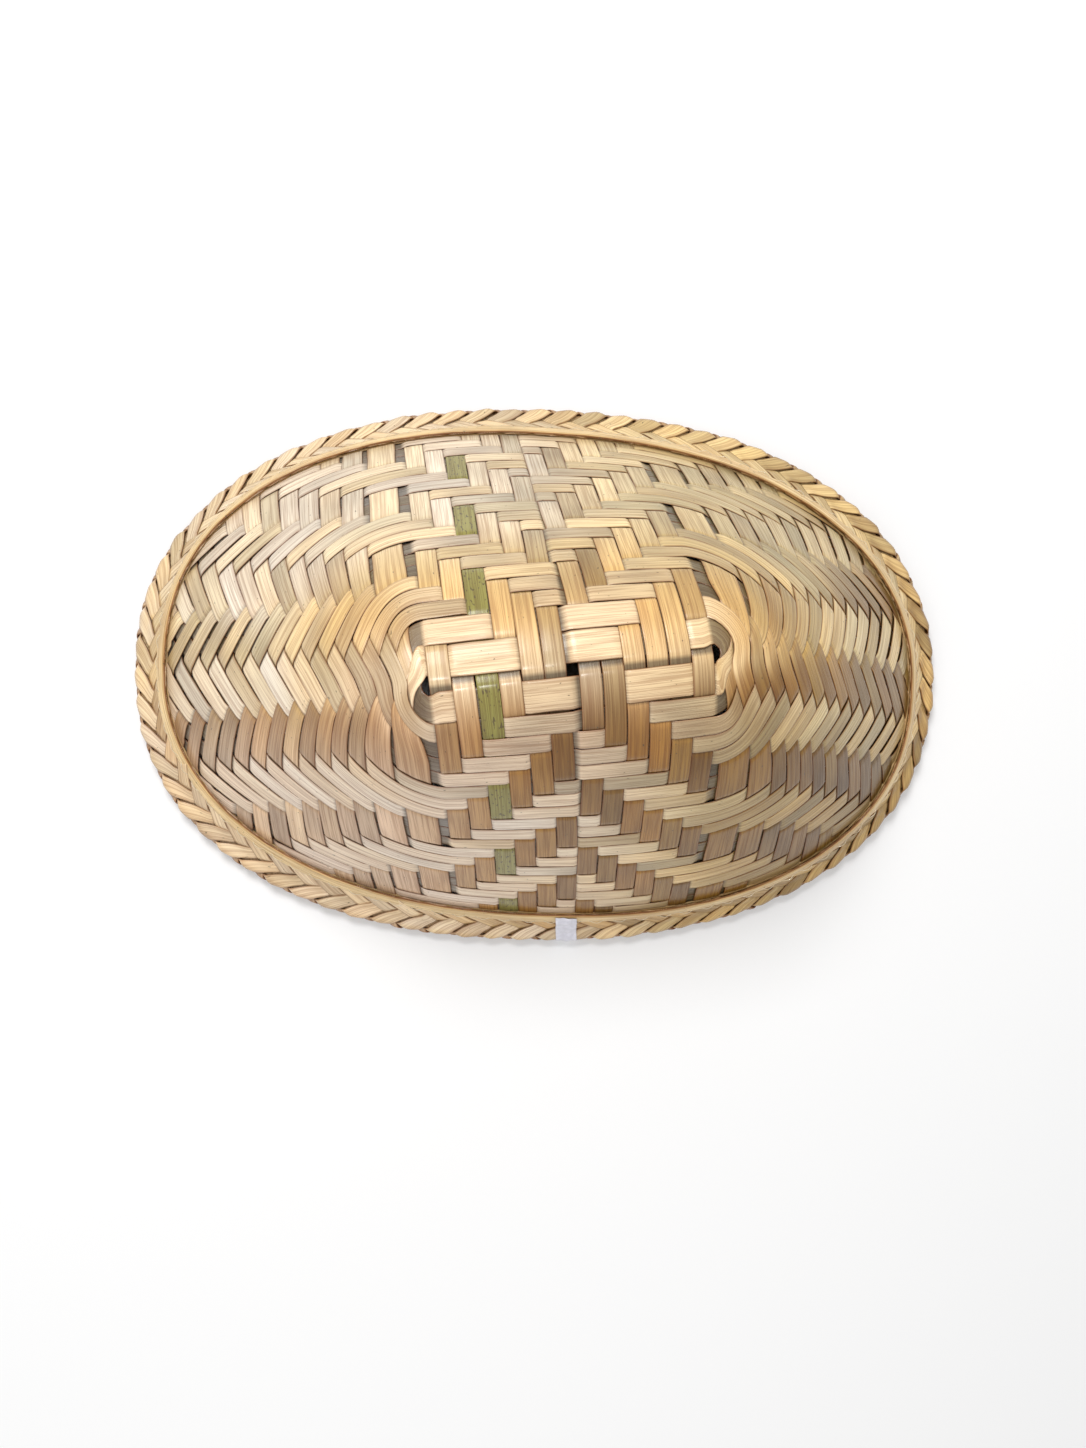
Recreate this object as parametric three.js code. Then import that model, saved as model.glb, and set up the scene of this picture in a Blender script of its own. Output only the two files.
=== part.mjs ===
// A woven bamboo basket with a ridge-shaped tip, standing mouth down on its braided rim.
// Millimetres and +Z up. X runs along the long side of the mouth, and -Y is the front.
import * as THREE from "three";

const DEGREE = Math.PI / 180;

// The mouth, measured over the braid. Its outline is a superellipse, where power 2 is an ellipse.
const MOUTH_LENGTH = 280;
const MOUTH_WIDTH = 186;
const MOUTH_POWER = 2.23;

// How far the mouth spreads past the wall's own oval, which starts at the braid's upper edge and is
// turned a little on the mouth by the weaver's pull.
const SPREAD_END = 13.8;
const SPREAD_FRONT = 12.5;
const WALL_TURN = -2 * DEGREE;
const BRAID_TOP = 14;

// The ridge, where the splints fold over from the front to the back.
const RIDGE_HEIGHT = 100;
const RIDGE_TURN = 8 * DEGREE;
const RIDGE_SPLINTS = 12;
const RIDGE_PITCH = 6.35;
const RIDGE_MIDDLE_GAP = 3.2;
const RIDGE_FAN = 0.7 * DEGREE;
const GREEN_SPLINT = 3;

// How the wall steepens away from the ridge: its slope nears WALL_SLOPE over SHOULDER of the way.
const WALL_SLOPE = 58 * DEGREE;
const SLOPE_GAIN = 5 * DEGREE;
const SHOULDER = 0.11;

// Rows of splints, counted from the ridge. The first ones are cut wider than the rest, and round the
// ends all of them crowd together.
const FRONT_FIRST = 10;
const FRONT_PITCH = 6.3;
const FRONT_ROWS = 19;
const BACK_FIRST = 9.6;
const BACK_SECOND = 7.9;
const BACK_PITCH = 5.9;
const BACK_ROWS = 20;
const END_CROWDING = 1.09;

// The weave's pull at the ridge ends, strongest halfway round each: it draws the rows in towards the
// ridge and turns them one way, most of all close to the ridge, where they also bend later.
const END_SQUEEZE = 0.7;
const TWIST_LEFT = 8.5 * DEGREE;
const TWIST_RIGHT = 12 * DEGREE;
const TWIST_GAIN = 3.2;
const TWIST_FADE = 27;
const LATE_BEND = 0.15;
const LATE_BEND_FADE = 22;

// One splint, the slit between two neighbours, and the weave's reach to each side of the wall.
const SPLINT_THICKNESS = 0.32;
const SPLINT_SLIT = 1;
const WEAVE_REACH = 0.7;
const TUCK = 13;

// The braid is a folded tape. The hoop lies on its upper edge and the tie pinches it at the front.
const FIT = 0.35;
const RIM_FIT = 0.7;
const BRAID_THICKNESS = 1.25;
const BRAID_INNER_TOP = 4;
const BRAID_BAND = 17;
const BRAID_FOLD = 0.86;
const HOOP_WIDTH = 2.3;
const HOOP_THICKNESS = 1.4;
const THREAD_DIAMETER = 0.5;
const THREAD_DROP = 3;
const TIE_WIDTH = 7.2;
const TIE_MIDDLE = -3.6;
const TIE_THICKNESS = 0.3;
const TIE_CLEARANCE = 0.25;
const TIE_RAMP = 1.5;

// How far a splint's straight stretches may cut a bend, out of the wall and in it, and the steps
// that round the rim.
const BEND_SAG = 0.46;
const IN_WALL_SAG = 0.6;
const SHORTEST_BEND = 3;
const WIDEST_STRAND = 5.3;
const FIRST_STRANDS = 4;
const RIM_STEPS_END = 30;
const RIM_STEPS_FRONT = 10;
const PROFILE_STEPS = 400;
const HOOP_SIDES = 6;
const TIE_STEPS = 2;
const UP = new THREE.Vector3(0, 0, 1);

const RIDGE_HALF = (RIDGE_SPLINTS * RIDGE_PITCH + RIDGE_MIDDLE_GAP) / 2;
const WEAVE_HALF = WEAVE_REACH + SPLINT_THICKNESS / 2;
const BRAID_IN = WEAVE_HALF + RIM_FIT;
const BRAID_OUT = BRAID_IN + BRAID_THICKNESS;
const HOOP_SEAT = WEAVE_HALF + RIM_FIT;
const CREST_HEIGHT = RIDGE_HEIGHT - WEAVE_HALF;
const MOUTH_LINE_INSET = BRAID_OUT * 1.2;

const mouthOval = {
  a: MOUTH_LENGTH / 2 - MOUTH_LINE_INSET,
  b: MOUTH_WIDTH / 2 - MOUTH_LINE_INSET,
  turn: 0,
};
const wallOval = {
  a: MOUTH_LENGTH / 2 - SPREAD_END,
  b: MOUTH_WIDTH / 2 - SPREAD_FRONT,
  turn: WALL_TURN,
};

// How far a plan point lies out of an oval: below 1 inside it and above 1 outside.
function ovalMeasure(oval, x, y) {
  const c = Math.cos(oval.turn);
  const s = Math.sin(oval.turn);
  const u = Math.abs(x * c + y * s) / oval.a;
  const v = Math.abs(y * c - x * s) / oval.b;
  return u ** MOUTH_POWER + v ** MOUTH_POWER;
}

// The longest way, no more than the mouth's length, that is still inside: found by halving.
function longestInside(isInside) {
  const halvings = 40;
  let near = 0;
  let far = MOUTH_LENGTH;
  for (let i = 0; i < halvings; i += 1) {
    const middle = (near + far) / 2;
    if (isInside(middle)) near = middle;
    else far = middle;
  }
  return near;
}

// The distance from a plan point inside an oval to the oval, along a direction.
function reachOval(oval, x, y, angle) {
  const dx = Math.cos(angle);
  const dy = Math.sin(angle);
  return longestInside((way) => ovalMeasure(oval, x + dx * way, y + dy * way) < 1);
}

// The wall's profile from the ridge (share 0) to the braid's upper edge (share 1), as shares of its
// plan distance and of its drop, found by walking down the slope.
function makeProfile() {
  const out = [0];
  const down = [0];
  for (let i = 0; i < PROFILE_STEPS; i += 1) {
    const share = (i + 0.5) / PROFILE_STEPS;
    const slope = WALL_SLOPE * (1 - Math.exp(-share / SHOULDER)) + SLOPE_GAIN * share;
    out.push(out[i] + Math.cos(slope));
    down.push(down[i] + Math.sin(slope));
  }
  return {
    out: out.map((d) => d / out[PROFILE_STEPS]),
    down: down.map((d) => d / down[PROFILE_STEPS]),
  };
}

const profile = makeProfile();

function lookUp(table, share) {
  const place = Math.min(Math.abs(share), 1) * PROFILE_STEPS;
  const i = Math.min(Math.floor(place), PROFILE_STEPS - 1);
  return table[i] + (table[i + 1] - table[i]) * (place - i);
}

// The way down the wall from the ridge to the braid's upper edge, where the wall reaches out by
// `reach` in plan.
function wayDown(reach) {
  const drop = CREST_HEIGHT - BRAID_TOP;
  let way = 0;
  for (let i = 0; i < PROFILE_STEPS; i += 1) {
    const out = (profile.out[i + 1] - profile.out[i]) * reach;
    const down = (profile.down[i + 1] - profile.down[i]) * drop;
    way += Math.hypot(out, down);
  }
  return way;
}

const frontWay = wayDown(reachOval(wallOval, 0, 0, RIDGE_TURN - Math.PI / 2));
const endWay = wayDown(reachOval(wallOval, 0, 0, RIDGE_TURN) - RIDGE_HALF);

// The same way in plan direction `angle`, as rows of the lattice count it.
function slantTo(angle) {
  return frontWay + (endWay * END_CROWDING - frontWay) * Math.cos(angle) ** 2;
}

// A point of the wall's middle surface. It lies on the ray that leaves the ridge at `along`, in the
// plan direction `angle` measured from the ridge, `slant` down the wall.
function wallPoint(along, angle, slant) {
  const x = along * Math.cos(RIDGE_TURN);
  const y = along * Math.sin(RIDGE_TURN);
  const heading = angle + RIDGE_TURN;
  const reach = reachOval(wallOval, x, y, heading);
  const length = slantTo(angle);
  let plan = Math.sign(slant) * reach * lookUp(profile.out, slant / length);
  let z = CREST_HEIGHT - (CREST_HEIGHT - BRAID_TOP) * lookUp(profile.down, slant / length);
  if (slant > length) {
    const share = (slant - length) / BRAID_BAND;
    plan = reach + (reachOval(mouthOval, x, y, heading) - reach) * share;
    z = BRAID_TOP * (1 - share);
  }
  return new THREE.Vector3(x + Math.cos(heading) * plan, y + Math.sin(heading) * plan, z);
}

// The four fields of the weave. Front and back are crossed by the ridge splints and take the place
// along the ridge and the way down. The two ends are crossed by back rows (a) and front rows (b).
const fields = {
  front: (x, s) => [x, -Math.PI / 2 - (RIDGE_FAN * x) / RIDGE_HALF, s],
  back: (x, s) => [x, Math.PI / 2 + (RIDGE_FAN * x) / RIDGE_HALF, s],
  right: (a, b) => {
    const [angle, slant] = endPlace(a, b, -TWIST_RIGHT);
    return [RIDGE_HALF, angle, slant];
  },
  left: (a, b) => {
    const [angle, slant] = endPlace(a, b, TWIST_LEFT);
    return [-RIDGE_HALF, Math.PI - angle, slant];
  },
};

// The plan direction and the way down of a place in an end's lattice. The direction doubles the
// lattice's angle, so that its quarter turn covers the half turn of the end, and the weave's pull is
// added to both.
function endPlace(a, b, twist) {
  const turn = Math.atan2(b, a);
  const far = Math.hypot(a, b);
  const pull = Math.sin(2 * turn) ** 2;
  const twisted = twist * pull * (1 + TWIST_GAIN * Math.exp(-far / TWIST_FADE));
  const late = LATE_BEND * Math.exp(-far / LATE_BEND_FADE) * Math.sin(4 * turn);
  const nearness = Math.max(0, 1 - far / (endWay * END_CROWDING));
  return [
    (Math.PI / 2 + RIDGE_FAN) * (1 - (turn - late) / (Math.PI / 4)) + twisted,
    far * (1 - END_SQUEEZE * pull * nearness),
  ];
}

// The point at (u, v) of a field, lifted off the wall's middle surface along its outward normal.
function fieldPoint(field, u, v, lift) {
  const at = (p, q) => wallPoint(...fields[field](p, q));
  const step = 0.1;
  const pu = field === "left" || field === "right" ? Math.max(u, 4 * step) : u;
  const pv = Math.max(v, 4 * step);
  const du = at(pu + step, pv).sub(at(pu - step, pv));
  const dv = at(pu, pv + step).sub(at(pu, pv - step));
  const normal = du.cross(dv).normalize();
  if (normal.z < 0) normal.negate();
  return at(u, v).addScaledVector(normal, lift);
}

// A closed solid through a row of rings, all with as many points. Closed rows join end to start, and
// open ones are capped. The rings' two halves face each other across the solid, so their quads are
// split along the same diagonal, which keeps the solid as thick where it twists.
function solidThroughRings(rings, closed) {
  const size = rings[0].length;
  const triangles = [];
  if (!closed) {
    for (const [a, b, c] of capTriangles(rings[0])) triangles.push([a, c, b]);
    triangles.push(...capTriangles(rings[rings.length - 1]));
  }
  const spans = closed ? rings.length : rings.length - 1;
  for (let i = 0; i < spans; i += 1) {
    const here = rings[i];
    const next = rings[(i + 1) % rings.length];
    for (let k = 0; k < size; k += 1) {
      const m = (k + 1) % size;
      if (k < size / 2) triangles.push([here[k], here[m], next[m]], [here[k], next[m], next[k]]);
      else triangles.push([here[k], here[m], next[k]], [here[m], next[m], next[k]]);
    }
  }
  const volume = triangles.reduce((sum, [a, b, c]) => sum + a.dot(b.clone().cross(c)), 0);
  const facing = volume > 0 ? triangles : triangles.map(([a, b, c]) => [a, c, b]);
  const geometry = new THREE.BufferGeometry();
  geometry.setFromPoints(facing.flat());
  geometry.computeVertexNormals();
  return geometry;
}

// Triangles that fill a ring, turned the way the ring turns.
function capTriangles(ring) {
  const normal = new THREE.Vector3();
  ring.forEach((p, i) => {
    const q = ring[(i + 1) % ring.length];
    normal.add(p.clone().sub(ring[0]).cross(q.clone().sub(ring[0])));
  });
  normal.normalize();
  const u = ring[1].clone().sub(ring[0]).normalize();
  const v = normal.clone().cross(u);
  const flat = ring.map((p) => new THREE.Vector2(p.dot(u), p.dot(v)));
  return THREE.ShapeUtils.triangulateShape(flat, []).map((corners) => {
    const turns = THREE.ShapeUtils.area(corners.map((i) => flat[i])) > 0;
    const [a, b, c] = corners.map((i) => ring[i]);
    return turns ? [a, b, c] : [a, c, b];
  });
}

// Row edges, counted down from the ridge.
function rowEdges(firstWidths, pitch, rows) {
  const edges = [0];
  for (let row = 0; row < rows; row += 1) {
    edges.push(edges[row] + (firstWidths[row] ?? pitch));
  }
  return edges;
}

const frontEdges = rowEdges([FRONT_FIRST], FRONT_PITCH, FRONT_ROWS);
const backEdges = rowEdges([BACK_FIRST, BACK_SECOND], BACK_PITCH, BACK_ROWS);

// The edges of one ridge splint along the ridge. The splints count from the left, from 1.
function ridgeEdges(number) {
  const side = number <= RIDGE_SPLINTS / 2 ? -1 : 1;
  const middle = (number - (RIDGE_SPLINTS + 1) / 2) * RIDGE_PITCH + (side * RIDGE_MIDDLE_GAP) / 2;
  return [middle - RIDGE_PITCH / 2, middle + RIDGE_PITCH / 2];
}

const cycle = (n) => ((n % 6) + 6) % 6;
const inMiddle = (n) => cycle(n) >= 2 && cycle(n) <= 4;

// Twill, three over and three under: whether a ridge splint lies over a row.
function ridgeOverRow(number, row, isFront) {
  const half = RIDGE_SPLINTS / 2;
  const isLeft = number <= half;
  const column = isLeft ? half + 1 - number : number - half;
  return inMiddle(column - row) === (isLeft === isFront);
}

// At the ends, whether a front row lies over a back row. The first two change places there.
function frontOverBack(front, back, isLeft) {
  const atRidgeEnd = front === 1 && back === 1;
  return (inMiddle(front - back) !== isLeft) !== atRidgeEnd;
}

// A splint is a list of spans. Each lies in one field between two crossing edges, over or under what
// it crosses there, and says how a length along it and a share of its width become a field's point.
// The splint changes sides in the slits between the splints that it crosses, where none is in its
// way, and between two changes it has as many rings as its bends need.
function splintSolid(spans, strands) {
  const starts = [0];
  spans.forEach((span, i) => starts.push(starts[i] + span.length));
  const total = starts[spans.length];
  const pointAt = (distance, across, lift) => {
    let i = 0;
    while (i + 1 < spans.length && starts[i + 1] < distance) i += 1;
    const [u, v] = spans[i].place(distance - starts[i], across);
    return fieldPoint(spans[i].field, u, v, lift);
  };
  const rings = [];
  const addRing = (distance, over) => {
    const lift = over ? WEAVE_REACH : -WEAVE_REACH;
    const ring = [];
    for (let k = 0; k <= strands; k += 1) {
      ring.push(pointAt(distance, k / strands, lift - SPLINT_THICKNESS / 2));
    }
    for (let k = strands; k >= 0; k -= 1) {
      ring.push(pointAt(distance, k / strands, lift + SPLINT_THICKNESS / 2));
    }
    rings.push(ring);
  };
  const bendsBetween = (from, to) => {
    return [0, 0.5, 1].some((across) => {
      const [start, middle, end] = [from, (from + to) / 2, to].map((d) => pointAt(d, across, 0));
      const sag = start.add(end).multiplyScalar(0.5).sub(middle);
      const normal = pointAt((from + to) / 2, across, 1).sub(middle);
      const outOfWall = Math.abs(sag.dot(normal));
      return outOfWall > BEND_SAG || sag.length() > IN_WALL_SAG;
    });
  };
  const pastBraidTop = (distance) => pointAt(distance, 0.5, 0).z < BRAID_TOP;
  const placeToSplit = (from, to) => {
    if (pastBraidTop(from) === pastBraidTop(to)) return (from + to) / 2;
    let [near, far] = [from, to];
    while (far - near > 0.01) {
      const middle = (near + far) / 2;
      if (pastBraidTop(middle) === pastBraidTop(from)) near = middle;
      else far = middle;
    }
    return THREE.MathUtils.clamp(near, from + SHORTEST_BEND / 3, to - SHORTEST_BEND / 3);
  };
  const addRingsInside = (from, to, over) => {
    if (to - from < SHORTEST_BEND || !bendsBetween(from, to)) return;
    const middle = placeToSplit(from, to);
    addRingsInside(from, middle, over);
    addRing(middle, over);
    addRingsInside(middle, to, over);
  };
  let from = 0;
  spans.forEach((span, i) => {
    const isLast = i + 1 === spans.length;
    if (!isLast && spans[i + 1].over === span.over) return;
    const to = isLast ? total : starts[i + 1] - SPLINT_SLIT / 2;
    addRing(from, span.over);
    addRingsInside(from, to, span.over);
    addRing(to, span.over);
    from = to + SPLINT_SLIT;
  });
  return solidThroughRings(rings, false);
}

// The far end of a row splint whose outer edge runs at `edge` across an end of the basket: the last
// place that is still inside the braid's fold.
function endOfRun(field, edge, isFront) {
  return longestInside((run) => {
    const [, angle, slant] = isFront ? fields[field](run, edge) : fields[field](edge, run);
    return slant < slantTo(angle) + TUCK;
  });
}

// A ridge splint: up the front rows, over the ridge and down the back rows.
function ridgeSplint(number) {
  const [low, high] = ridgeEdges(number);
  const across = (share) => low + SPLINT_SLIT / 2 + (high - low - SPLINT_SLIT) * share;
  const spans = [];
  const addSpan = (field, from, to, over) => {
    const way = Math.sign(to - from);
    spans.push({
      field,
      over,
      length: Math.abs(to - from),
      place: (along, share) => [across(share), from + way * along],
    });
  };
  const limit = frontWay + TUCK;
  for (let row = FRONT_ROWS; row >= 1; row -= 1) {
    const far = row === FRONT_ROWS ? limit : Math.min(frontEdges[row], limit);
    if (far > frontEdges[row - 1]) {
      addSpan("front", far, frontEdges[row - 1], ridgeOverRow(number, row, true));
    }
  }
  for (let row = 1; row <= BACK_ROWS; row += 1) {
    const far = row === BACK_ROWS ? limit : Math.min(backEdges[row], limit);
    if (far > backEdges[row - 1]) {
      addSpan("back", backEdges[row - 1], far, ridgeOverRow(number, row, false));
    }
  }
  return splintSolid(spans, 1);
}

// A row splint: from the mouth at the left, round the left ridge end, along the front or back, round
// the right ridge end and down to the mouth again.
function rowSplint(row, isFront) {
  const edges = isFront ? frontEdges : backEdges;
  const crossing = isFront ? backEdges : frontEdges;
  const crossingRows = isFront ? BACK_ROWS : FRONT_ROWS;
  const low = edges[row - 1] + SPLINT_SLIT / 2;
  const high = edges[row] - SPLINT_SLIT / 2;
  const limits = {
    left: endOfRun("left", high, isFront),
    right: endOfRun("right", high, isFront),
  };
  const spans = [];
  const addEndSpan = (isLeft, other) => {
    const field = isLeft ? "left" : "right";
    const limit = limits[field];
    const near = crossing[other - 1];
    const far = other === crossingRows ? limit : Math.min(crossing[other], limit);
    if (far - near < SPLINT_SLIT * 2) return;
    const over = frontOverBack(isFront ? row : other, isFront ? other : row, isLeft) === isFront;
    spans.push({
      field,
      over,
      length: far - near,
      place: (along, share) => {
        const run = isLeft ? far - along : near + along;
        const across = low + (high - low) * share;
        return isFront ? [run, across] : [across, run];
      },
    });
  };
  for (let other = crossingRows; other >= 1; other -= 1) addEndSpan(true, other);
  for (let number = 1; number <= RIDGE_SPLINTS; number += 1) {
    const [from, to] = ridgeEdges(number);
    spans.push({
      field: isFront ? "front" : "back",
      over: !ridgeOverRow(number, row, isFront),
      length: to - from,
      place: (along, share) => [from + along, low + (high - low) * share],
    });
  }
  for (let other = 1; other <= crossingRows; other += 1) addEndSpan(false, other);
  return splintSolid(spans, row === 1 ? FIRST_STRANDS : Math.ceil((high - low) / WIDEST_STRAND));
}

// The rays round the mouth, anticlockwise from the front of the right ridge end: where each leaves
// the ridge and the plan direction that it takes. The front has extra ones at the tie's edges.
function rimRays() {
  const turn = Math.PI / 2 + RIDGE_FAN;
  const rays = [];
  for (let i = 0; i < RIM_STEPS_END; i += 1) {
    rays.push([RIDGE_HALF, turn * ((2 * i) / RIM_STEPS_END - 1)]);
  }
  for (let i = 0; i < RIM_STEPS_FRONT; i += 1) {
    const x = RIDGE_HALF * (1 - (2 * i) / RIM_STEPS_FRONT);
    rays.push(fields.back(x, 0).slice(0, 2));
  }
  for (let i = 0; i < RIM_STEPS_END; i += 1) {
    rays.push([-RIDGE_HALF, Math.PI + turn * ((2 * i) / RIM_STEPS_END - 1)]);
  }
  const places = [];
  for (let i = 0; i < RIM_STEPS_FRONT; i += 1) {
    places.push(RIDGE_HALF * ((2 * i) / RIM_STEPS_FRONT - 1));
  }
  for (const side of [-1, 1]) {
    const pinched = TIE_MIDDLE + side * (TIE_WIDTH / 2 + TIE_CLEARANCE);
    places.push(pinched, pinched + side * TIE_RAMP);
  }
  places.sort((p, q) => p - q);
  for (const x of places) rays.push(fields.front(x, 0).slice(0, 2));
  return rays;
}

// A ray's upright cut through a straight stretch of the wall, between two places on it counted down
// from the braid's upper edge: a point `down` along the stretch and `lift` out of the wall's middle
// surface. A length written as { height } is found from its height.
function rimCut([along, angle], from, to) {
  const length = slantTo(angle);
  const top = wallPoint(along, angle, length + from);
  const down = wallPoint(along, angle, length + to).sub(top);
  const band = down.length();
  down.normalize();
  const heading = angle + RIDGE_TURN;
  const outward = new THREE.Vector3(Math.cos(heading), Math.sin(heading), 0);
  const normal = outward.clone().multiplyScalar(-down.z).addScaledVector(UP, down.dot(outward));
  const at = (distance, lift) => {
    const point = top.clone().addScaledVector(normal, lift);
    const way = distance.height === undefined ? distance : (distance.height - point.z) / down.z;
    return point.addScaledVector(down, way);
  };
  return { at, band };
}

// How far the tie pinches the braid in on a ray: 0 away from it, 1 under it.
function pinchOf([along, angle]) {
  if (Math.cos(angle + Math.PI / 2) < 0.9) return 0;
  const past = Math.abs(along - TIE_MIDDLE) - TIE_WIDTH / 2 - TIE_CLEARANCE;
  return THREE.MathUtils.clamp(1 - past / TIE_RAMP, 0, 1);
}

function braidRing(ray) {
  const { at, band } = rimCut(ray, 0, BRAID_BAND);
  const pinch = pinchOf(ray) * (TIE_THICKNESS + TIE_CLEARANCE * 2);
  const out = BRAID_OUT - pinch;
  const fold = band * BRAID_FOLD;
  return [
    at(0, out),
    at({ height: pinch }, out),
    at({ height: pinch }, -out),
    at(BRAID_INNER_TOP, -out),
    at(BRAID_INNER_TOP, -BRAID_IN),
    at(fold, -BRAID_IN),
    at(fold, BRAID_IN),
    at(0, BRAID_IN),
  ];
}

function hoopRing(ray) {
  const { at, band } = rimCut(ray, -FIT - HOOP_WIDTH, -FIT);
  const ring = [];
  for (let i = 0; i < HOOP_SIDES; i += 1) {
    const turn = (2 * Math.PI * i) / HOOP_SIDES;
    const lift = HOOP_SEAT + (HOOP_THICKNESS / 2) * (1 + Math.cos(turn));
    ring.push(at((band / 2) * (1 + Math.sin(turn)), lift));
  }
  return ring;
}

function threadRing(ray) {
  const { at } = rimCut(ray, 0, BRAID_BAND);
  const radius = THREAD_DIAMETER / 2;
  const lift = BRAID_OUT + FIT + radius;
  return [
    at(THREAD_DROP, lift + radius),
    at(THREAD_DROP + radius, lift),
    at(THREAD_DROP, lift - radius),
    at(THREAD_DROP - radius, lift),
  ];
}

function tieRing(ray) {
  const { at } = rimCut(ray, 0, BRAID_BAND);
  const outside = BRAID_OUT - TIE_CLEARANCE;
  const inside = outside - TIE_THICKNESS;
  const sole = TIE_CLEARANCE / 2;
  return [
    at(0, outside),
    at({ height: sole }, outside),
    at({ height: sole }, -outside),
    at(BRAID_INNER_TOP, -outside),
    at(BRAID_INNER_TOP, -inside),
    at({ height: sole + TIE_THICKNESS }, -inside),
    at({ height: sole + TIE_THICKNESS }, inside),
    at(0, inside),
  ];
}

function tieSolid() {
  const rings = [];
  for (let i = 0; i <= TIE_STEPS; i += 1) {
    const x = TIE_MIDDLE + TIE_WIDTH * (i / TIE_STEPS - 0.5);
    rings.push(tieRing(fields.front(x, 0).slice(0, 2)));
  }
  return solidThroughRings(rings, false);
}

const straw = [0xdcc193, 0xd2b384, 0xe4cfa6, 0xc9a877];
const group = new THREE.Group();

function addMesh(name, geometry, colour, roughness) {
  const material = new THREE.MeshStandardMaterial({ color: colour, roughness, metalness: 0 });
  material.name = name;
  const mesh = new THREE.Mesh(geometry, material);
  mesh.name = name;
  group.add(mesh);
}

for (let number = 1; number <= RIDGE_SPLINTS; number += 1) {
  const isGreen = number === GREEN_SPLINT;
  const name = isGreen ? "ridge_splint_green" : "ridge_splint_" + number;
  addMesh(name, ridgeSplint(number), isGreen ? 0x82854b : straw[number % 4], 0.45);
}
for (let row = 1; row <= FRONT_ROWS; row += 1) {
  addMesh("front_splint_" + row, rowSplint(row, true), straw[(row + 1) % 4], 0.45);
}
for (let row = 1; row <= BACK_ROWS; row += 1) {
  addMesh("back_splint_" + row, rowSplint(row, false), straw[(row + 2) % 4], 0.45);
}

const rays = rimRays();
addMesh("rim_braid", solidThroughRings(rays.map(braidRing), true), 0xd9bd8e, 0.55);
addMesh("rim_hoop", solidThroughRings(rays.map(hoopRing), true), 0xe6cf9f, 0.45);
addMesh("rim_stitching", solidThroughRings(rays.map(threadRing), true), 0xeeeae0, 0.3);
addMesh("rim_tie", tieSolid(), 0xe9e7ec, 0.35);

export default group;
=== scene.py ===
"""A woven bamboo basket with a ridge-shaped tip, standing mouth down on its plaited rim.

model.glb gives the plain model. This add-on puts a detailed piece over each part of it: every
splint as a thin crowned strip that rides over and under its neighbours, and the rim as a plait with
a hoop, stitches and a tie. Metres, +Z up, X along the mouth, -Y the front.
"""

import math

import bpy
import numpy as np
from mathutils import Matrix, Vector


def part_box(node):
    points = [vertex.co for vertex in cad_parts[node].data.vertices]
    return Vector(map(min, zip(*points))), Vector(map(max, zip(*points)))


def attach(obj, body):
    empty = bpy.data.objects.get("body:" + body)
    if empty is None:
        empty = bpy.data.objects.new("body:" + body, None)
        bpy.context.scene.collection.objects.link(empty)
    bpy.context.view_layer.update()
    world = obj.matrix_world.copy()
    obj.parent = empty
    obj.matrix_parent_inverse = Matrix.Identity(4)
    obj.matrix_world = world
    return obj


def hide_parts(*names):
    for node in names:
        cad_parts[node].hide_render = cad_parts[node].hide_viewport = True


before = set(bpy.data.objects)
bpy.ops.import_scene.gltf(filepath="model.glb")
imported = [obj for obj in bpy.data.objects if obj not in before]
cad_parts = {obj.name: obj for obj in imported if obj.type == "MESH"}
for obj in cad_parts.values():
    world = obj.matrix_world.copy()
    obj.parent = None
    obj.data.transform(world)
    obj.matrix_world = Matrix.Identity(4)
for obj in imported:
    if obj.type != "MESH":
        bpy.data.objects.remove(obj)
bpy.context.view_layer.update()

bl_info = {
    "name": "Woven Basket",
    "version": (1, 0, 0),
    "blender": (4, 5, 0),
    "location": "View3D > Sidebar > Basket",
    "description": "Dresses the plain basket with woven splints, a plaited rim and a studio",
    "category": "Add Mesh",
}

# The weave
RIDGE_SPLINTS = 12
FRONT_ROWS = 19
BACK_ROWS = 20
GREEN_SPLINT = 3

# How olive some splints are, by their numbers from the left or from the ridge
OLIVE_RIDGE = {5: 0.15, 8: 0.35, 11: 0.25}
OLIVE_FRONT = {2: 0.25, 6: 0.3, 11: 0.5, 15: 0.2}
OLIVE_BACK = {3: 0.2, 7: 0.45, 12: 0.3, 16: 0.35}

# Random seeds: a piece adds its number to the seed of its group
RIDGE_SEED = 100
FRONT_SEED = 300
BACK_SEED = 500
STRAND_SEED = 60
HOOP_SEED = 43

# The section of a splint or strip: places across in half widths, and heights in thicknesses
SECTION_ACROSS = np.array([-1, -0.94, -0.82, 0, 0.82, 0.94, 1, 0.94, 0, -0.94])
SECTION_UP = np.array([0, 0.5, 0.5, 0.5, 0.5, 0.5, 0, -0.5, -0.5, -0.5])
# How brown a splint is towards its cut edges: their own colour, and painted shade in the gaps
# between splints
EDGE_ACROSS = (0.82, 0.94, 1.0)
EDGE_BROWN_AND_GAP_SHADE = (0.0, 0.36, 0.92)

# How finely the surfaces are worked out: counts, and steps in metres
PROFILE_STEPS = 400
NEWTON_STEPS = 7
HALVINGS = 40
SPLINT_STEP = 0.001
MEASURING_STEP = 1.5e-4
NO_LENGTH = 1e-12
SHORTEST_RUN = 1e-7
QUARTER_STEPS = 400
SPAN_STEPS = 100
TOOTH_STEPS = 20
STRAND_POINTS = 13
CORE_RINGS = 720
CORE_POINTS = 26
STRIP_RINGS = 900
STITCH_STEPS = 12
THREAD_SIDES = 8
TAPE_RINGS = 25
TAPE_POINTS = 60

# The light of the painted sheen, which the fibres answer to, and how fast it turns with the way
# left along the front
LIGHT = (-0.36, 0.45, 0.82)
LIGHT_TURN = 8.5
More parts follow.
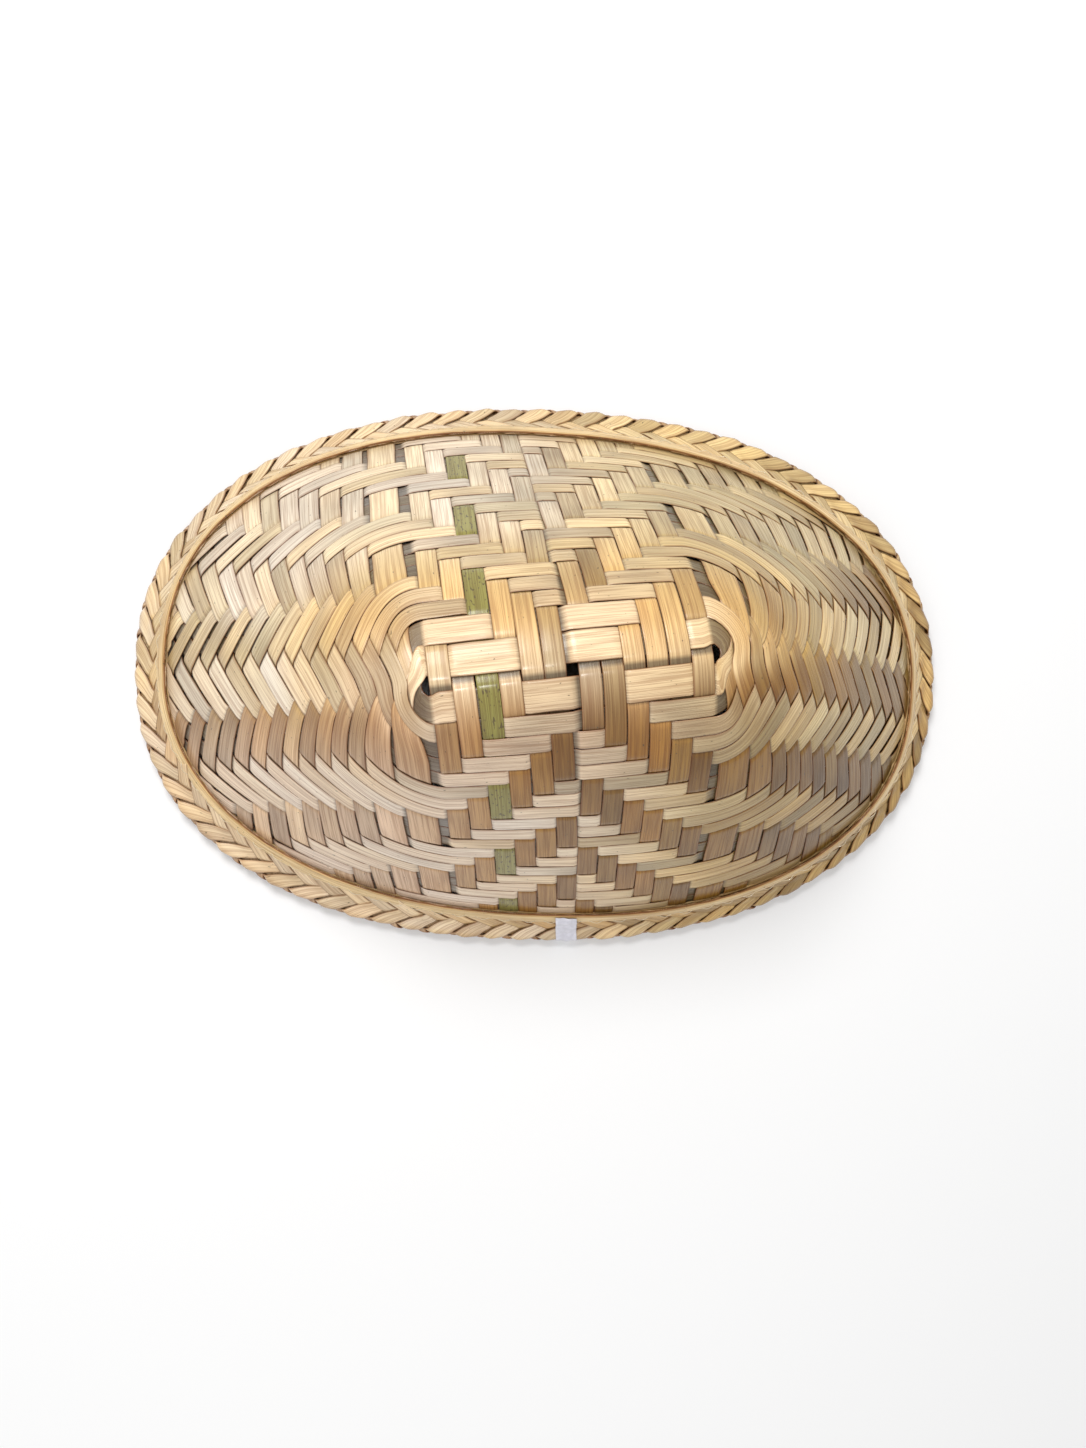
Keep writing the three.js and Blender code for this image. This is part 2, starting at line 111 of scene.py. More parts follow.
# How strongly each wash of painted sheen, light and shade covers the splints
ROSY_SHEEN = 0.80
SHEEN = (0.2, 0.9)
GOLDEN_LIGHT = 0.75
DULL_SHADE = 0.40
FRONT_LIGHT_AND_SHADE = 0.44
# What the flat top and the right side lose of red, green and blue
TOP_LOSS = np.array([0.06, 0.10, 0.03])
RIGHT_LOSS = np.array([0.0, 0.02, 0.30])
# The brightest that any channel gets
BRIGHTEST = 0.94
# How much single splints differ: in width, brightness, warmth and greenness
SPLINT_WIDTHS = (0.94, 1.03)
SPLINT_TONES = (0.66, 1.14)
SPLINT_WARMTH = (-0.02, 0.06)
SPLINT_GREEN = (-0.015, 0.015)
# The colour of the specks
SPECK_COLOUR = (0.10, 0.07, 0.035, 1.0)

# The folded leaf of the braid: shares of the way down with extra lift, and places on the fold
OUTER_LEAF = ((-0.02, 0.0), (0.3, 0.0004), (0.60, 0.0008))
FOLD_DEGREES = (5, -50, -105, -160)
INNER_LEAF = (0.55, 0.24)
LEAF_SPANS = len(OUTER_LEAF) + len(FOLD_DEGREES) + len(INNER_LEAF) - 1
# The basket stands on its fold: what would be lower than this keeps this share of the way below
PRESSED_BELOW = 0.0022
PRESSED_SHARE = 0.66

# The plait: how pointed its wave is, how far its strands are raised and their least height, both
# in plait lifts, and how far a strand is arched
POINTEDNESS = 0.985
STRAND_LIFT = 0.35
STRAND_LOWEST = -0.5
STRAND_CROWN = 0.00010
# The bell curve round the fold: its middle and reach on w, and what it adds to lift and to tilt
FOLD_PLACE = 0.0155
FOLD_REACH = 0.0034
FOLD_GAIN = 1.9
FOLD_TILT = 0.0005
# Its tints: its leaves' tones, its own colour's share, and how brown it is at its foot and edges.
# At the foot that is painted shade on the undersides near the floor; at the edges it is partly
# their own colour and partly painted shade between the strands
LEAF_TONES = (0.84, 1.36)
PLAIT_SHARE = 0.32
FOOT_SHADE = 0.72
STRAND_EDGE_BROWN_AND_SHADE = 0.6
# How far the pattern of the fibres moves from strand to strand
PATTERN_SHIFT = 0.91
# The core below it: where it starts on the outer leaf, and the lifts of its two sides
CORE_START = 0.0008
CORE_LIFTS = (-0.0008, -0.0013)


def from_screen(red, green, blue):
    """The linear colour of a screen colour given from 0 to 255."""
    shares = (np.array([red, green, blue]) / 255.0).tolist()
    return tuple(c / 12.92 if c <= 0.04045 else ((c + 0.055) / 1.055) ** 2.4 for c in shares)


def factor(name, description, default):
    """A property that is a plain number."""
    return bpy.props.FloatProperty(name=name, description=description, default=default)


def whole(name, description, default):
    """A property that is a whole number."""
    return bpy.props.IntProperty(name=name, description=description, default=default)


def length(name, description, default):
    """A length property in metres."""
    return bpy.props.FloatProperty(
        name=name, description=description, default=default, unit="LENGTH", precision=5
    )


def turn(name, description, degrees):
    """An angle property, given in degrees."""
    return bpy.props.FloatProperty(
        name=name, description=description, default=math.radians(degrees), unit="ROTATION"
    )


def watts(name, description, default):
    """A lamp's power property."""
    return bpy.props.FloatProperty(
        name=name, description=description, default=default, unit="POWER"
    )


def colour(name, description, red, green, blue):
    """A colour property, given as a screen colour."""
    return bpy.props.FloatVectorProperty(
        name=name,
        description=description,
        default=from_screen(red, green, blue),
        subtype="COLOR",
        min=0.0,
        max=1.0,
    )


rim_low, rim_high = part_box("rim_braid")


class BasketSizes(bpy.types.PropertyGroup):
    """Sizes of the wall and of its weave."""

    mouth_length: length("Mouth length", "Over the braid", rim_high[0] - rim_low[0])
    mouth_width: length("Mouth width", "Over the braid", rim_high[1] - rim_low[1])
    mouth_power: factor("Mouth power", "2 is an ellipse and more is squarer", 2.23)
    spread_end: length("Spread at the ends", "How far the mouth passes the wall", 0.0138)
    spread_front: length("Spread at the front", "How far the mouth passes the wall", 0.0125)
    wall_turn: turn("Wall turn", "How far the wall is turned on the mouth", -2)
    braid_top: length("Braid top", "Height of the braid's upper edge", 0.014)
    braid_band: length("Braid band", "Way down the wall under the braid", 0.017)
    mouth_inset: length("Mouth inset", "From the outside to the wall's middle", 0.0034)
    ridge_height: length("Ridge height", "Height of the tip", 0.1)
    ridge_turn: turn("Ridge turn", "How far the ridge is turned in plan", 8)
    ridge_fan: turn("Ridge fan", "How far the outer ridge splints lean out", 0.7)
    ridge_pitch: length("Ridge pitch", "From one ridge splint to the next", 0.00635)
    middle_gap: length("Middle gap", "Extra room between the two middle splints", 0.0032)
    gap_closing: factor("Gap closing", "Way down the front over the way that it closes in", 1.6)
    wall_slope: turn("Wall slope", "Slope of the wall below its shoulder", 58)
    slope_gain: turn("Slope gain", "How much steeper the wall is at the braid", 5)
    shoulder: factor("Shoulder", "Share of the way down that the bend takes", 0.11)
    front_first: length("First front row", "Width of the first front row", 0.010)
    front_pitch: length("Front pitch", "From one front row to the next", 0.0063)
    back_first: length("First back row", "Width of the first back row", 0.0096)
    back_second: length("Second back row", "Width of the second back row", 0.0079)
    back_pitch: length("Back pitch", "From one back row to the next", 0.0059)
    end_crowding: factor("End crowding", "How much closer the rows lie at the ends", 1.09)
    end_squeeze: factor("End squeeze", "How far the rows are drawn in round the ends", 0.70)
    twist_left: turn("Left twist", "How far the left end's rows are turned", 8.5)
    twist_right: turn("Right twist", "How far the right end's rows are turned", 12)
    twist_gain: factor("Twist gain", "How much more they are turned at the ridge", 3.2)
    twist_fade: length("Twist fade", "The way over which that fades", 0.027)
    late_bend: factor("Late bend", "How late the rows bend at the ridge's ends", 0.15)
    late_bend_fade: length("Late bend fade", "The way over which that fades", 0.022)
    tuck: length("Tuck", "How far the splints reach into the braid", 0.011)
    thickness: length("Splint thickness", "Thickness of one splint", 0.0003)
    reach: length("Weave reach", "How far a splint leaves the wall's middle", 0.00040)
    slit: length("Slit", "Room between two splints", 0.00006)
    fullness: factor("Fullness", "Width of a splint over its pitch, where it has room", 1.12)
    ease: length("Ease", "Way that a splint takes to change sides", 0.0026)
    dive_shade: factor("Dive shade", "How much darker a splint is where it dives", 0.7)
    open_ridge: length("Open ridge", "Way from the ridge to the first row's edge", 0.0013)
    corner_width: length("Corner width", "Width of a first row round a ridge end", 0.0074)
    corner_low: length("Corner edge", "Way from the ridge end to that row's edge", 0.0038)
    crown: length("Crown", "How much a splint is arched across", 0.00009)


class RimSizes(bpy.types.PropertyGroup):
    """Sizes of the plait, the hoop, the stitches and the tie."""

    teeth: whole("Teeth", "Strand turns along each edge of the plait", 76)
    strands: whole("Strands", "Strands side by side in the plait", 8)
    strand_width: length("Strand width", "Width of one strand of the plait", 0.0051)
    strand_thickness: length("Strand thickness", "Thickness of one strand", 0.0004)
    plait_lift: length("Plait lift", "How far a strand rides up over another", 0.00042)
    plait_middle: length("Plait middle", "Way from the braid's upper edge", 0.0140)
    plait_sway: length("Plait sway", "How far a strand sways to each side", 0.0124)
    lift: length("Leaf lift", "From the wall's middle to the braid's leaf", 0.0014)
    lip: length("Lip", "How far the fold passes the wall's foot line", 0.0014)
    fold: length("Fold", "Radius of the fold at the mouth's edge", 0.0020)
    fold_height: length("Fold height", "Height of the fold's middle", 0.0033)
    hoop_middle: length("Hoop middle", "Way from the braid's upper edge", 0.0004)
    hoop_width: length("Hoop width", "Width of the hoop", 0.0013)
    hoop_lift: length("Hoop lift", "Height of the hoop over the leaf", 0.0005)
    hoop_thickness: length("Hoop thickness", "Thickness of the hoop", 0.0006)
    strip_top: length("Strip top", "Way from the braid's upper edge to the strip", 0.0007)
    strip_width: length("Strip width", "Width of the flat strip below the hoop", 0.0034)
    strip_lift: length("Strip lift", "Height of the strip over the leaf", 0.0008)
    strip_thickness: length("Strip thickness", "Thickness of the strip", 0.0003)
    stitch_pitch: length("Stitch pitch", "From one stitch to the next", 0.0078)
    stitch_middle: length("Stitch middle", "Way from the braid's upper edge", 0.0030)
    stitch_wander: length("Stitch wander", "How far the thread strays from it", 0.0003)
    stitch_lift: length("Stitch lift", "Middle height of the thread over the leaf", 0.0013)
    stitch_wave: length("Stitch wave", "How far it rises and dives from there", 0.0007)
    thread: length("Thread", "Thickness of the thread", 0.0002)
    tie_width: length("Tie width", "Width of the tape", 0.0072)
    tie_middle: length("Tie middle", "Place of the tape along the front", -0.0036)
    tie_top: length("Tie top", "Way from the braid's upper edge to the tape", -0.0004)
    tie_lift: length("Tie lift", "Height of the tape over the leaf", 0.0019)
    tie_bump: length("Tie bump", "How far it rises over the strip", 0.0004)
    tie_thickness: length("Tie thickness", "Thickness of the wound tape", 0.00035)


class BasketColours(bpy.types.PropertyGroup):
    """Colours of the bamboo, the thread, the tape and the studio."""

    # cream and tan are the ends of the painted sheen, and pink, silver and gold are colours of
    # painted light and sheen; olive and edge are partly own colours and partly painted shade
    cream: colour("Cream", "Splints with their fibres square to the light", 252, 228, 178)
    tan: colour("Tan", "Splints with their fibres along the light", 180, 132, 66)
    pink: colour("Pink", "Splints that lie along the front", 254, 234, 214)
    silver: colour("Silver", "Sheen of the splints on the lit side", 255, 242, 226)
    gold: colour("Gold", "Splints behind the ridge", 240, 196, 114)
    olive: colour("Olive", "The darkest splints", 168, 142, 82)
    green: colour("Green", "The splint that kept its skin", 150, 142, 76)
    edge: colour("Edge", "Cut edges of the bamboo", 132, 74, 32)
    fibre: colour("Fibre", "Dark fibres in the bamboo", 150, 100, 54)
    plait: colour("Plait", "Strands of the rim", 226, 190, 128)
    thread: colour("Thread", "Clear thread", 232, 218, 188)
    tape: colour("Tape", "White tape", 232, 230, 240)
    floor: colour("Floor", "Floor and backdrop", 244, 244, 244)


class StudioSettings(bpy.types.PropertyGroup):
    """Camera and lamps."""

    camera_place: bpy.props.FloatVectorProperty(
        name="Camera place",
        description="Where the camera stands",
        default=(-0.0369, -0.0087, 0.4535),
        subtype="TRANSLATION",
    )
    camera_tilt: bpy.props.FloatVectorProperty(
        name="Camera tilt",
        description="Turns about X, Y and Z, from looking straight down",
        default=(-0.0180, -0.0818, 0.0186),
        subtype="EULER",
    )
    lens: factor("Lens", "Focal length in millimetres", 32.1)
    sky: factor("Sky", "Strength of the light from all round", 0.44)
    key: watts("Key", "Power of the large lamp at the back", 7.6)
    top: watts("Top", "Power of the lamp above", 2.6)
    fill: watts("Fill", "Power of the lamp at the front", 1.3)


def reach_oval(half_length, half_width, oval_turn, power, x, y, heading):
    """The distance from (x, y) along heading to a turned superellipse.

    With u and v the place in the oval's own axes over its half sizes, |u|^power + |v|^power is 1 on
    it. The distance starts from the ellipse's, a quadratic, and Newton's steps do the rest.
    """
    c, s = math.cos(oval_turn), math.sin(oval_turn)
    dx, dy = np.cos(heading), np.sin(heading)
    u0, v0 = (x * c + y * s) / half_length, (y * c - x * s) / half_width
    du, dv = (dx * c + dy * s) / half_length, (dy * c - dx * s) / half_width
    a = du * du + dv * dv
    b = u0 * du + v0 * dv
    k = u0 * u0 + v0 * v0 - 1
    distance = (np.sqrt(b * b - a * k) - b) / a
    for _ in range(NEWTON_STEPS):
        u, v = u0 + du * distance, v0 + dv * distance
        over = np.abs(u) ** power + np.abs(v) ** power - 1
        slope_u = np.abs(u) ** (power - 1) * np.sign(u) * du
        slope_v = np.abs(v) ** (power - 1) * np.sign(v) * dv
        distance = distance - over / (power * (slope_u + slope_v))
    return distance


def smooth(value):
    """0 below 0, 1 above 1 and 3 v^2 - 2 v^3 between."""
    v = np.clip(value, 0.0, 1.0)
    return v * v * (3 - 2 * v)


def ramp(value, low, high):
    """A smooth step that is 0 at low and 1 at high. low may be the larger of the two."""
    return smooth((value - low) / (high - low))


def unit(vectors):
    """The vectors over their own lengths."""
    return vectors / np.maximum(np.linalg.norm(vectors, axis=-1, keepdims=True), NO_LENGTH)


def row_edges(first, pitch, rows):
    """Row edges counted down from the ridge: the first widths are given and the rest are pitch."""
    widths = list(first) + [pitch] * (rows - len(first))
    return np.append(0, np.cumsum(widths))


class Wall:
    """The wall's middle surface, and the places of the splints on it."""

    def __init__(self, sizes):
        """Works out the wall's profile, its ways down and the edges of its rows.

        The profile's slope rises from 0 at the ridge to wall_slope as 1 - exp(-share / shoulder),
        and by slope_gain on the way down. Its sums of cosines and sines are the ways out and down.
        """
        self.sizes = sizes
        self.half = (RIDGE_SPLINTS * sizes.ridge_pitch + sizes.middle_gap) / 2
        self.crest = sizes.ridge_height - sizes.reach - sizes.thickness / 2
        share = (np.arange(PROFILE_STEPS) + 0.5) / PROFILE_STEPS
        slope = sizes.wall_slope * (1 - np.exp(-share / sizes.shoulder))
        slope = slope + sizes.slope_gain * share
        out = np.append(0, np.cumsum(np.cos(slope)))
        down = np.append(0, np.cumsum(np.sin(slope)))
        self.share = np.linspace(0, 1, PROFILE_STEPS + 1)
        self.out = out / out[-1]
        self.down = down / down[-1]
        self.front_way = self.way_down(self.wall_reach(0.0, 0.0, sizes.ridge_turn - math.pi / 2))
        end = self.way_down(self.wall_reach(0.0, 0.0, sizes.ridge_turn) - self.half)
        self.end_way = end * sizes.end_crowding
        back_first = [sizes.back_first, sizes.back_second]
        self.front_edges = row_edges([sizes.front_first], sizes.front_pitch, FRONT_ROWS)
        self.back_edges = row_edges(back_first, sizes.back_pitch, BACK_ROWS)

    def wall_reach(self, x, y, heading):
        """The plan distance from (x, y) to the wall's oval at the braid's upper edge."""
        s = self.sizes
        half_length = s.mouth_length / 2 - s.spread_end
        half_width = s.mouth_width / 2 - s.spread_front
        return reach_oval(half_length, half_width, s.wall_turn, s.mouth_power, x, y, heading)

    def mouth_reach(self, x, y, heading):
        """The plan distance from (x, y) to the wall's foot line inside the braid."""
        s = self.sizes
        half_length = s.mouth_length / 2 - s.mouth_inset
        half_width = s.mouth_width / 2 - s.mouth_inset
        return reach_oval(half_length, half_width, 0.0, s.mouth_power, x, y, heading)

    def way_down(self, reach):
        """The profile's length for one plan reach: the sum of its small steps out and down."""
        drop = self.crest - self.sizes.braid_top
        return float(np.hypot(np.diff(self.out) * reach, np.diff(self.down) * drop).sum())

    def slant_to(self, angle):
        """The way down in plan direction angle: the end's share goes with cos^2."""
        return self.front_way + (self.end_way - self.front_way) * np.cos(angle) ** 2

    def point(self, along, angle, slant):
        """The point on the ray that leaves the ridge at along in direction angle, slant down.

        Past the braid's upper edge the wall runs straight on to its foot line.
        """
        s = self.sizes
        along, angle, slant = np.broadcast_arrays(along, angle, slant)
        x, y = along * math.cos(s.ridge_turn), along * math.sin(s.ridge_turn)
        heading = angle + s.ridge_turn
        reach = self.wall_reach(x, y, heading)
        way = self.slant_to(angle)
        place = np.abs(slant) / way
        plan = np.sign(slant) * reach * np.interp(place, self.share, self.out)
        drop = self.crest - s.braid_top
        z = self.crest - drop * np.interp(place, self.share, self.down)
        past = (slant - way) / s.braid_band
        foot = reach + (self.mouth_reach(x, y, heading) - reach) * past
        plan = np.where(past > 0, foot, plan)
        z = np.where(past > 0, s.braid_top * (1 - past), z)
        return np.stack([x + np.cos(heading) * plan, y + np.sin(heading) * plan, z], -1)

    def closed_up(self, across, slant):
        """Places along the ridge once the middle gap has closed, which it does on the way down.

        The two middle splints give up half the gap each and the outer ones nothing.
        """
        gap = self.sizes.middle_gap / 2
        far = (np.abs(across) - gap) / (self.half - gap)
        closed = smooth(slant / self.front_way * self.sizes.gap_closing)
        return across - np.sign(across) * gap * closed * (1 - far)

    def ridge_point(self, t, across):
        """A ridge splint's place: t down the front is negative and t down the back positive."""
        side = np.where(t < 0, -1.0, 1.0)
        across = self.closed_up(across, np.abs(t))
        angle = side * (math.pi / 2 + self.sizes.ridge_fan * across / self.half)
        return self.point(across, angle, np.abs(t))

    def end_place(self, a, b, is_right):
        """The plan direction and the way down of a place in an end's lattice of rows a and b.

        The direction doubles the lattice's angle atan2(b, a), and the way is hypot(a, b). The
        weave's pull goes with sin^2 of twice that angle. It draws the place in towards the ridge by
        the share end_squeeze, fading to 0 at the braid, and twists it by the side's twist times
        1 + twist_gain exp(-way / twist_fade). Near the ridge the rows bend late: the angle loses
        late_bend exp(-way / late_bend_fade) sin(4 angle).
        """
        s = self.sizes
        bend, far = np.arctan2(b, a), np.hypot(a, b)
        pull = np.sin(2 * bend) ** 2
        twist = np.where(is_right, -s.twist_right, s.twist_left)
        twist = twist * pull * (1 + s.twist_gain * np.exp(-far / s.twist_fade))
        late = s.late_bend * np.exp(-far / s.late_bend_fade) * np.sin(4 * bend)
        angle = (math.pi / 2 + s.ridge_fan) * (1 - (bend - late) / (math.pi / 4)) + twist
        nearness = np.maximum(0, 1 - far / self.end_way)
        slant = far * (1 - s.end_squeeze * pull * nearness)
        return np.where(is_right, angle, math.pi - angle), slant

    def row_point(self, t, across, is_front):
        """A row splint's place: t along the ridge, and past either ridge end round the end.

        Past the ridge's end the row lies in a lattice of front rows b and back rows a.
        """
        run = np.maximum(np.abs(t) - self.half, SHORTEST_RUN)
        a, b = (run, across) if is_front else (across, run)
        end, far = self.end_place(a, b, t > 0)
        side = -1.0 if is_front else 1.0
        middle = side * (math.pi / 2 + self.sizes.ridge_fan * t / self.half)
        inside = np.abs(t) <= self.half
        slant = np.where(inside, across, far)
        return self.point(np.clip(t, -self.half, self.half), np.where(inside, middle, end), slant)

    def row_band(self, t, low, high):
        """The two edges of a row along t.

        A first row leaves the ridge's fold open. Where it turns round an end of the ridge it is
        narrower and lies closer.
        """
        if low > 0:
            return np.full_like(t, low), np.full_like(t, high)
        sizes = self.sizes
        run = np.abs(t) - self.half
        past = ramp(run, low=-0.003, high=0.004) * (1 - ramp(run, low=0.011, high=0.026))
        corner_high = sizes.corner_low + sizes.corner_width
        start = sizes.open_ridge + (sizes.corner_low - sizes.open_ridge) * past
        return start, high + (corner_high - high) * past

    def end_of_run(self, edge, is_front, is_right):
        """How far a row's edge runs past the ridge's end before it leaves the braid's fold.

        Halving a span again and again finds the run whose way down is that to the braid and the
        tuck.
        """
        near, far = 0.0, self.sizes.mouth_length
        for _ in range(HALVINGS):
            run = (near + far) / 2
            a, b = (run, edge) if is_front else (edge, run)
            angle, slant = self.end_place(a, b, is_right)
            if slant < self.slant_to(angle) + self.sizes.tuck:
                near = run
            else:
                far = run
        return near

    def ridge_edges(self, number):
        """The two edges of a ridge splint along the ridge, counted from the left from 1."""
        sizes = self.sizes
        side = -1 if number <= RIDGE_SPLINTS // 2 else 1
        middle = (number - (RIDGE_SPLINTS + 1) / 2) * sizes.ridge_pitch
        middle = middle + side * sizes.middle_gap / 2
        return middle - sizes.ridge_pitch / 2, middle + sizes.ridge_pitch / 2

    def row_crossings(self, low, high, others):
        """The places along a row at which it passes from one crossing splint to the next."""
        bands = [self.ridge_edges(number) for number in range(1, RIDGE_SPLINTS + 1)]
        inner = [(left[1] + right[0]) / 2 for left, right in zip(bands[:-1], bands[1:])]
        inner = self.closed_up(np.array(inner), (low + high) / 2)
        ends = self.half + others[:-1]
        return np.concatenate([-ends[::-1], inner, ends])


def local_axes(place, t, across):
    """The outward normal of place at (t, across), its direction along t and its scale across.

    They come from small steps to both sides. The normal is the one that looks up, and the scale is
    the real width of one unit of across.
    """
    step = MEASURING_STEP
    t, across = np.broadcast_arrays(t, across)
    along = place(t + step, across) - place(t - step, across)
    over = place(t, across + step) - place(t, across - step)
    square = np.cross(along, over)
    normal = unit(square)
    flip = np.where(normal[..., 2:] < 0, -1.0, 1.0)
    scale = np.linalg.norm(square, axis=-1) / np.linalg.norm(along, axis=-1)
    return normal * flip, unit(along), scale / (2 * step)


def in_middle(number):
    """Whether a place in the twill's cycle of six is one of its middle three."""
    return 2 <= number % 6 <= 4


def ridge_over_row(number, row, is_front):
    """Twill, three over and three under: whether a ridge splint lies over a row."""
    half = RIDGE_SPLINTS // 2
    is_left = number <= half
    column = half + 1 - number if is_left else number - half
    return in_middle(column - row) == (is_left == is_front)


def front_over_back(front, back, is_left):
    """At the ends, whether a front row lies over a back row. The first two change places there."""
    at_ridge_end = front == 1 and back == 1
    return (in_middle(front - back) != is_left) != at_ridge_end


def ridge_states(number):
    """Whether a ridge splint lies over each row, from the front's last to the back's last."""
    states = [ridge_over_row(number, row, True) for row in range(FRONT_ROWS, 0, -1)]
    return states + [ridge_over_row(number, row, False) for row in range(1, BACK_ROWS + 1)]


def row_states(row, is_front):
    """Whether a row lies over each splint that it crosses, from its left end to its right end."""
    crossing = BACK_ROWS if is_front else FRONT_ROWS

    def is_over(other, is_left):
        """Whether the row lies over another of the two ends' rows."""
        pair = (row, other) if is_front else (other, row)
        return front_over_back(*pair, is_left) == is_front

    numbers = range(1, RIDGE_SPLINTS + 1)
    states = [is_over(other, True) for other in range(crossing, 0, -1)]
    states += [not ridge_over_row(number, row, is_front) for number in numbers]
    return states + [is_over(other, False) for other in range(1, crossing + 1)]


def change_sides(t, edges, states, ease):
    """+1 over and -1 under: the sum of a smooth step at each edge where the state changes."""
    value = np.full(t.shape, 1.0 if states[0] else -1.0)
    for edge, before, after in zip(edges, states[:-1], states[1:]):
        if before != after:
            value = value + (2.0 if after else -2.0) * smooth((t - edge) / ease + 0.5)
    return value


def sway(rng, t, waves, strength):
    """A smooth wander along t: a sum of sines with the given wavelengths and random phases."""
    total = np.zeros_like(t)
    for wave in waves:
        amount = rng.uniform(0.4, 1.0) * strength / len(waves)
        total = total + amount * np.sin(2 * math.pi * t / wave + rng.uniform(0, 2 * math.pi))
    return total


def make_object(name, points, closed_along, marks, material):
    """A mesh through a grid of points: rings closed round their section, capped at open ends.

    marks is a dictionary of named arrays on the grid: "place" a flat (u, v), others colours.
    """
    rings, size = points.shape[:2]
    index = np.arange(rings * size).reshape(rings, size)
    here = index if closed_along else index[:-1]
    after = np.roll(index, -1, axis=0) if closed_along else index[1:]
    quads = np.stack([here, after, np.roll(after, -1, axis=1), np.roll(here, -1, axis=1)], -1)
    quads = quads.reshape(-1, 4)
    faces = quads.tolist()
    if not closed_along:
        faces += [index[0].tolist(), index[-1][::-1].tolist()]
    centre = points.mean(axis=1)[: here.shape[0]]
    corner = points.reshape(-1, 3)[quads]
    facing = np.cross(corner[:, 2] - corner[:, 0], corner[:, 3] - corner[:, 1])
    outward = corner.mean(axis=1) - np.repeat(centre, size, axis=0)
    # The faces are turned round where they look inwards
    if (facing * outward).sum() < 0:
        faces = [face[::-1] for face in faces]
    mesh = bpy.data.meshes.new(name)
    mesh.from_pydata(points.reshape(-1, 3).tolist(), [], faces)
    corners = np.empty(len(mesh.loops), dtype=np.int32)
    mesh.loops.foreach_get("vertex_index", corners)
    for mark, values in marks.items():
        if mark == "place":
            layer = mesh.uv_layers.new(name="place")
            layer.data.foreach_set("uv", values.reshape(-1, 2)[corners].ravel())
        else:
            layer = mesh.attributes.new(mark, "FLOAT_COLOR", "POINT")
            rgba = np.ones((rings * size, 4))
            rgba[:, :3] = values.reshape(-1, 3)
            layer.data.foreach_set("color", rgba.ravel())
    mesh.polygons.foreach_set("use_smooth", [True] * len(mesh.polygons))
    mesh.materials.append(material)
    mesh.update()
    made = bpy.data.objects.new(name, mesh)
    bpy.context.scene.collection.objects.link(made)
    return made


def fit(made, node):
    """Fixes a piece to the basket in place of a node, and hides that node."""
    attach(made, "root")
    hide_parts(node)


def flat_place(along, across):
    """The flat (u, v) of each point: metres along the grain and metres across it."""
    return np.stack(np.broadcast_arrays(along, across), -1)


def there_and_back(first, last, count):
    """A closed section's places: count from first to last, and count back again."""
    way = [np.linspace(first, last, count), np.linspace(last, first, count)]
    return np.concatenate(way)[None, :]


def two_sides(there, back, count):
    """One value for each place on the way there, and the other on the way back."""
    return np.repeat([there, back], count)[None, :]


def blend_colours(first, second, share):
    """first where share is 0 and second where it is 1."""
    share = np.asarray(share)[..., None]
    return np.asarray(first) * (1 - share) + np.asarray(second) * share


def held_below(tint, limit):
    """The tint, scaled down where its brightest channel passes the limit."""
    return tint / np.maximum(tint.max(axis=-1, keepdims=True) / limit, 1)


def fibre_light(x, direction, front):
    """How square the fibres lie to the light: 1 - (fibre . light)^2, with both of length 1.

    The light comes from the left, the back and above. Along the front it turns to the right with
    the way to the left, by LIGHT_TURN for each metre. The tints paint sheen, light and shade from
    it.
    """
    sideways = LIGHT[0] + LIGHT_TURN * np.maximum(-x, 0) * front
    light = unit(np.stack([sideways, np.full_like(x, LIGHT[1]), np.full_like(x, LIGHT[2])], -1))
    return 1 - (direction * light).sum(axis=-1) ** 2


def painted_side_shade(x, y, front, square):
    """How bright the bamboo is from place to place: a product with one smooth step for each region.

    The right, the back and the front right are darker, with painted shade, and the front left is
    brighter, with painted light; so are fibres at the front that lie square to the light, with
    painted sheen.
    """
    right = ramp(x, low=0.01, high=0.11) * (0.08 + 0.22 * front)
    back = 0.16 * ramp(y, low=0.01, high=0.04) * ramp(x, low=-0.06, high=-0.01)
    lit_front_left = 0.30 * front * ramp(x, low=0.01, high=-0.04)
    along_light = 0.16 * front * (1 - square)
    front_right = 0.10 * front * ramp(x, low=0.0, high=0.04)
    shade = (1 - right) * (1 - back) * (1 + lit_front_left)
    return shade * (1 - along_light) * (1 - front_right)


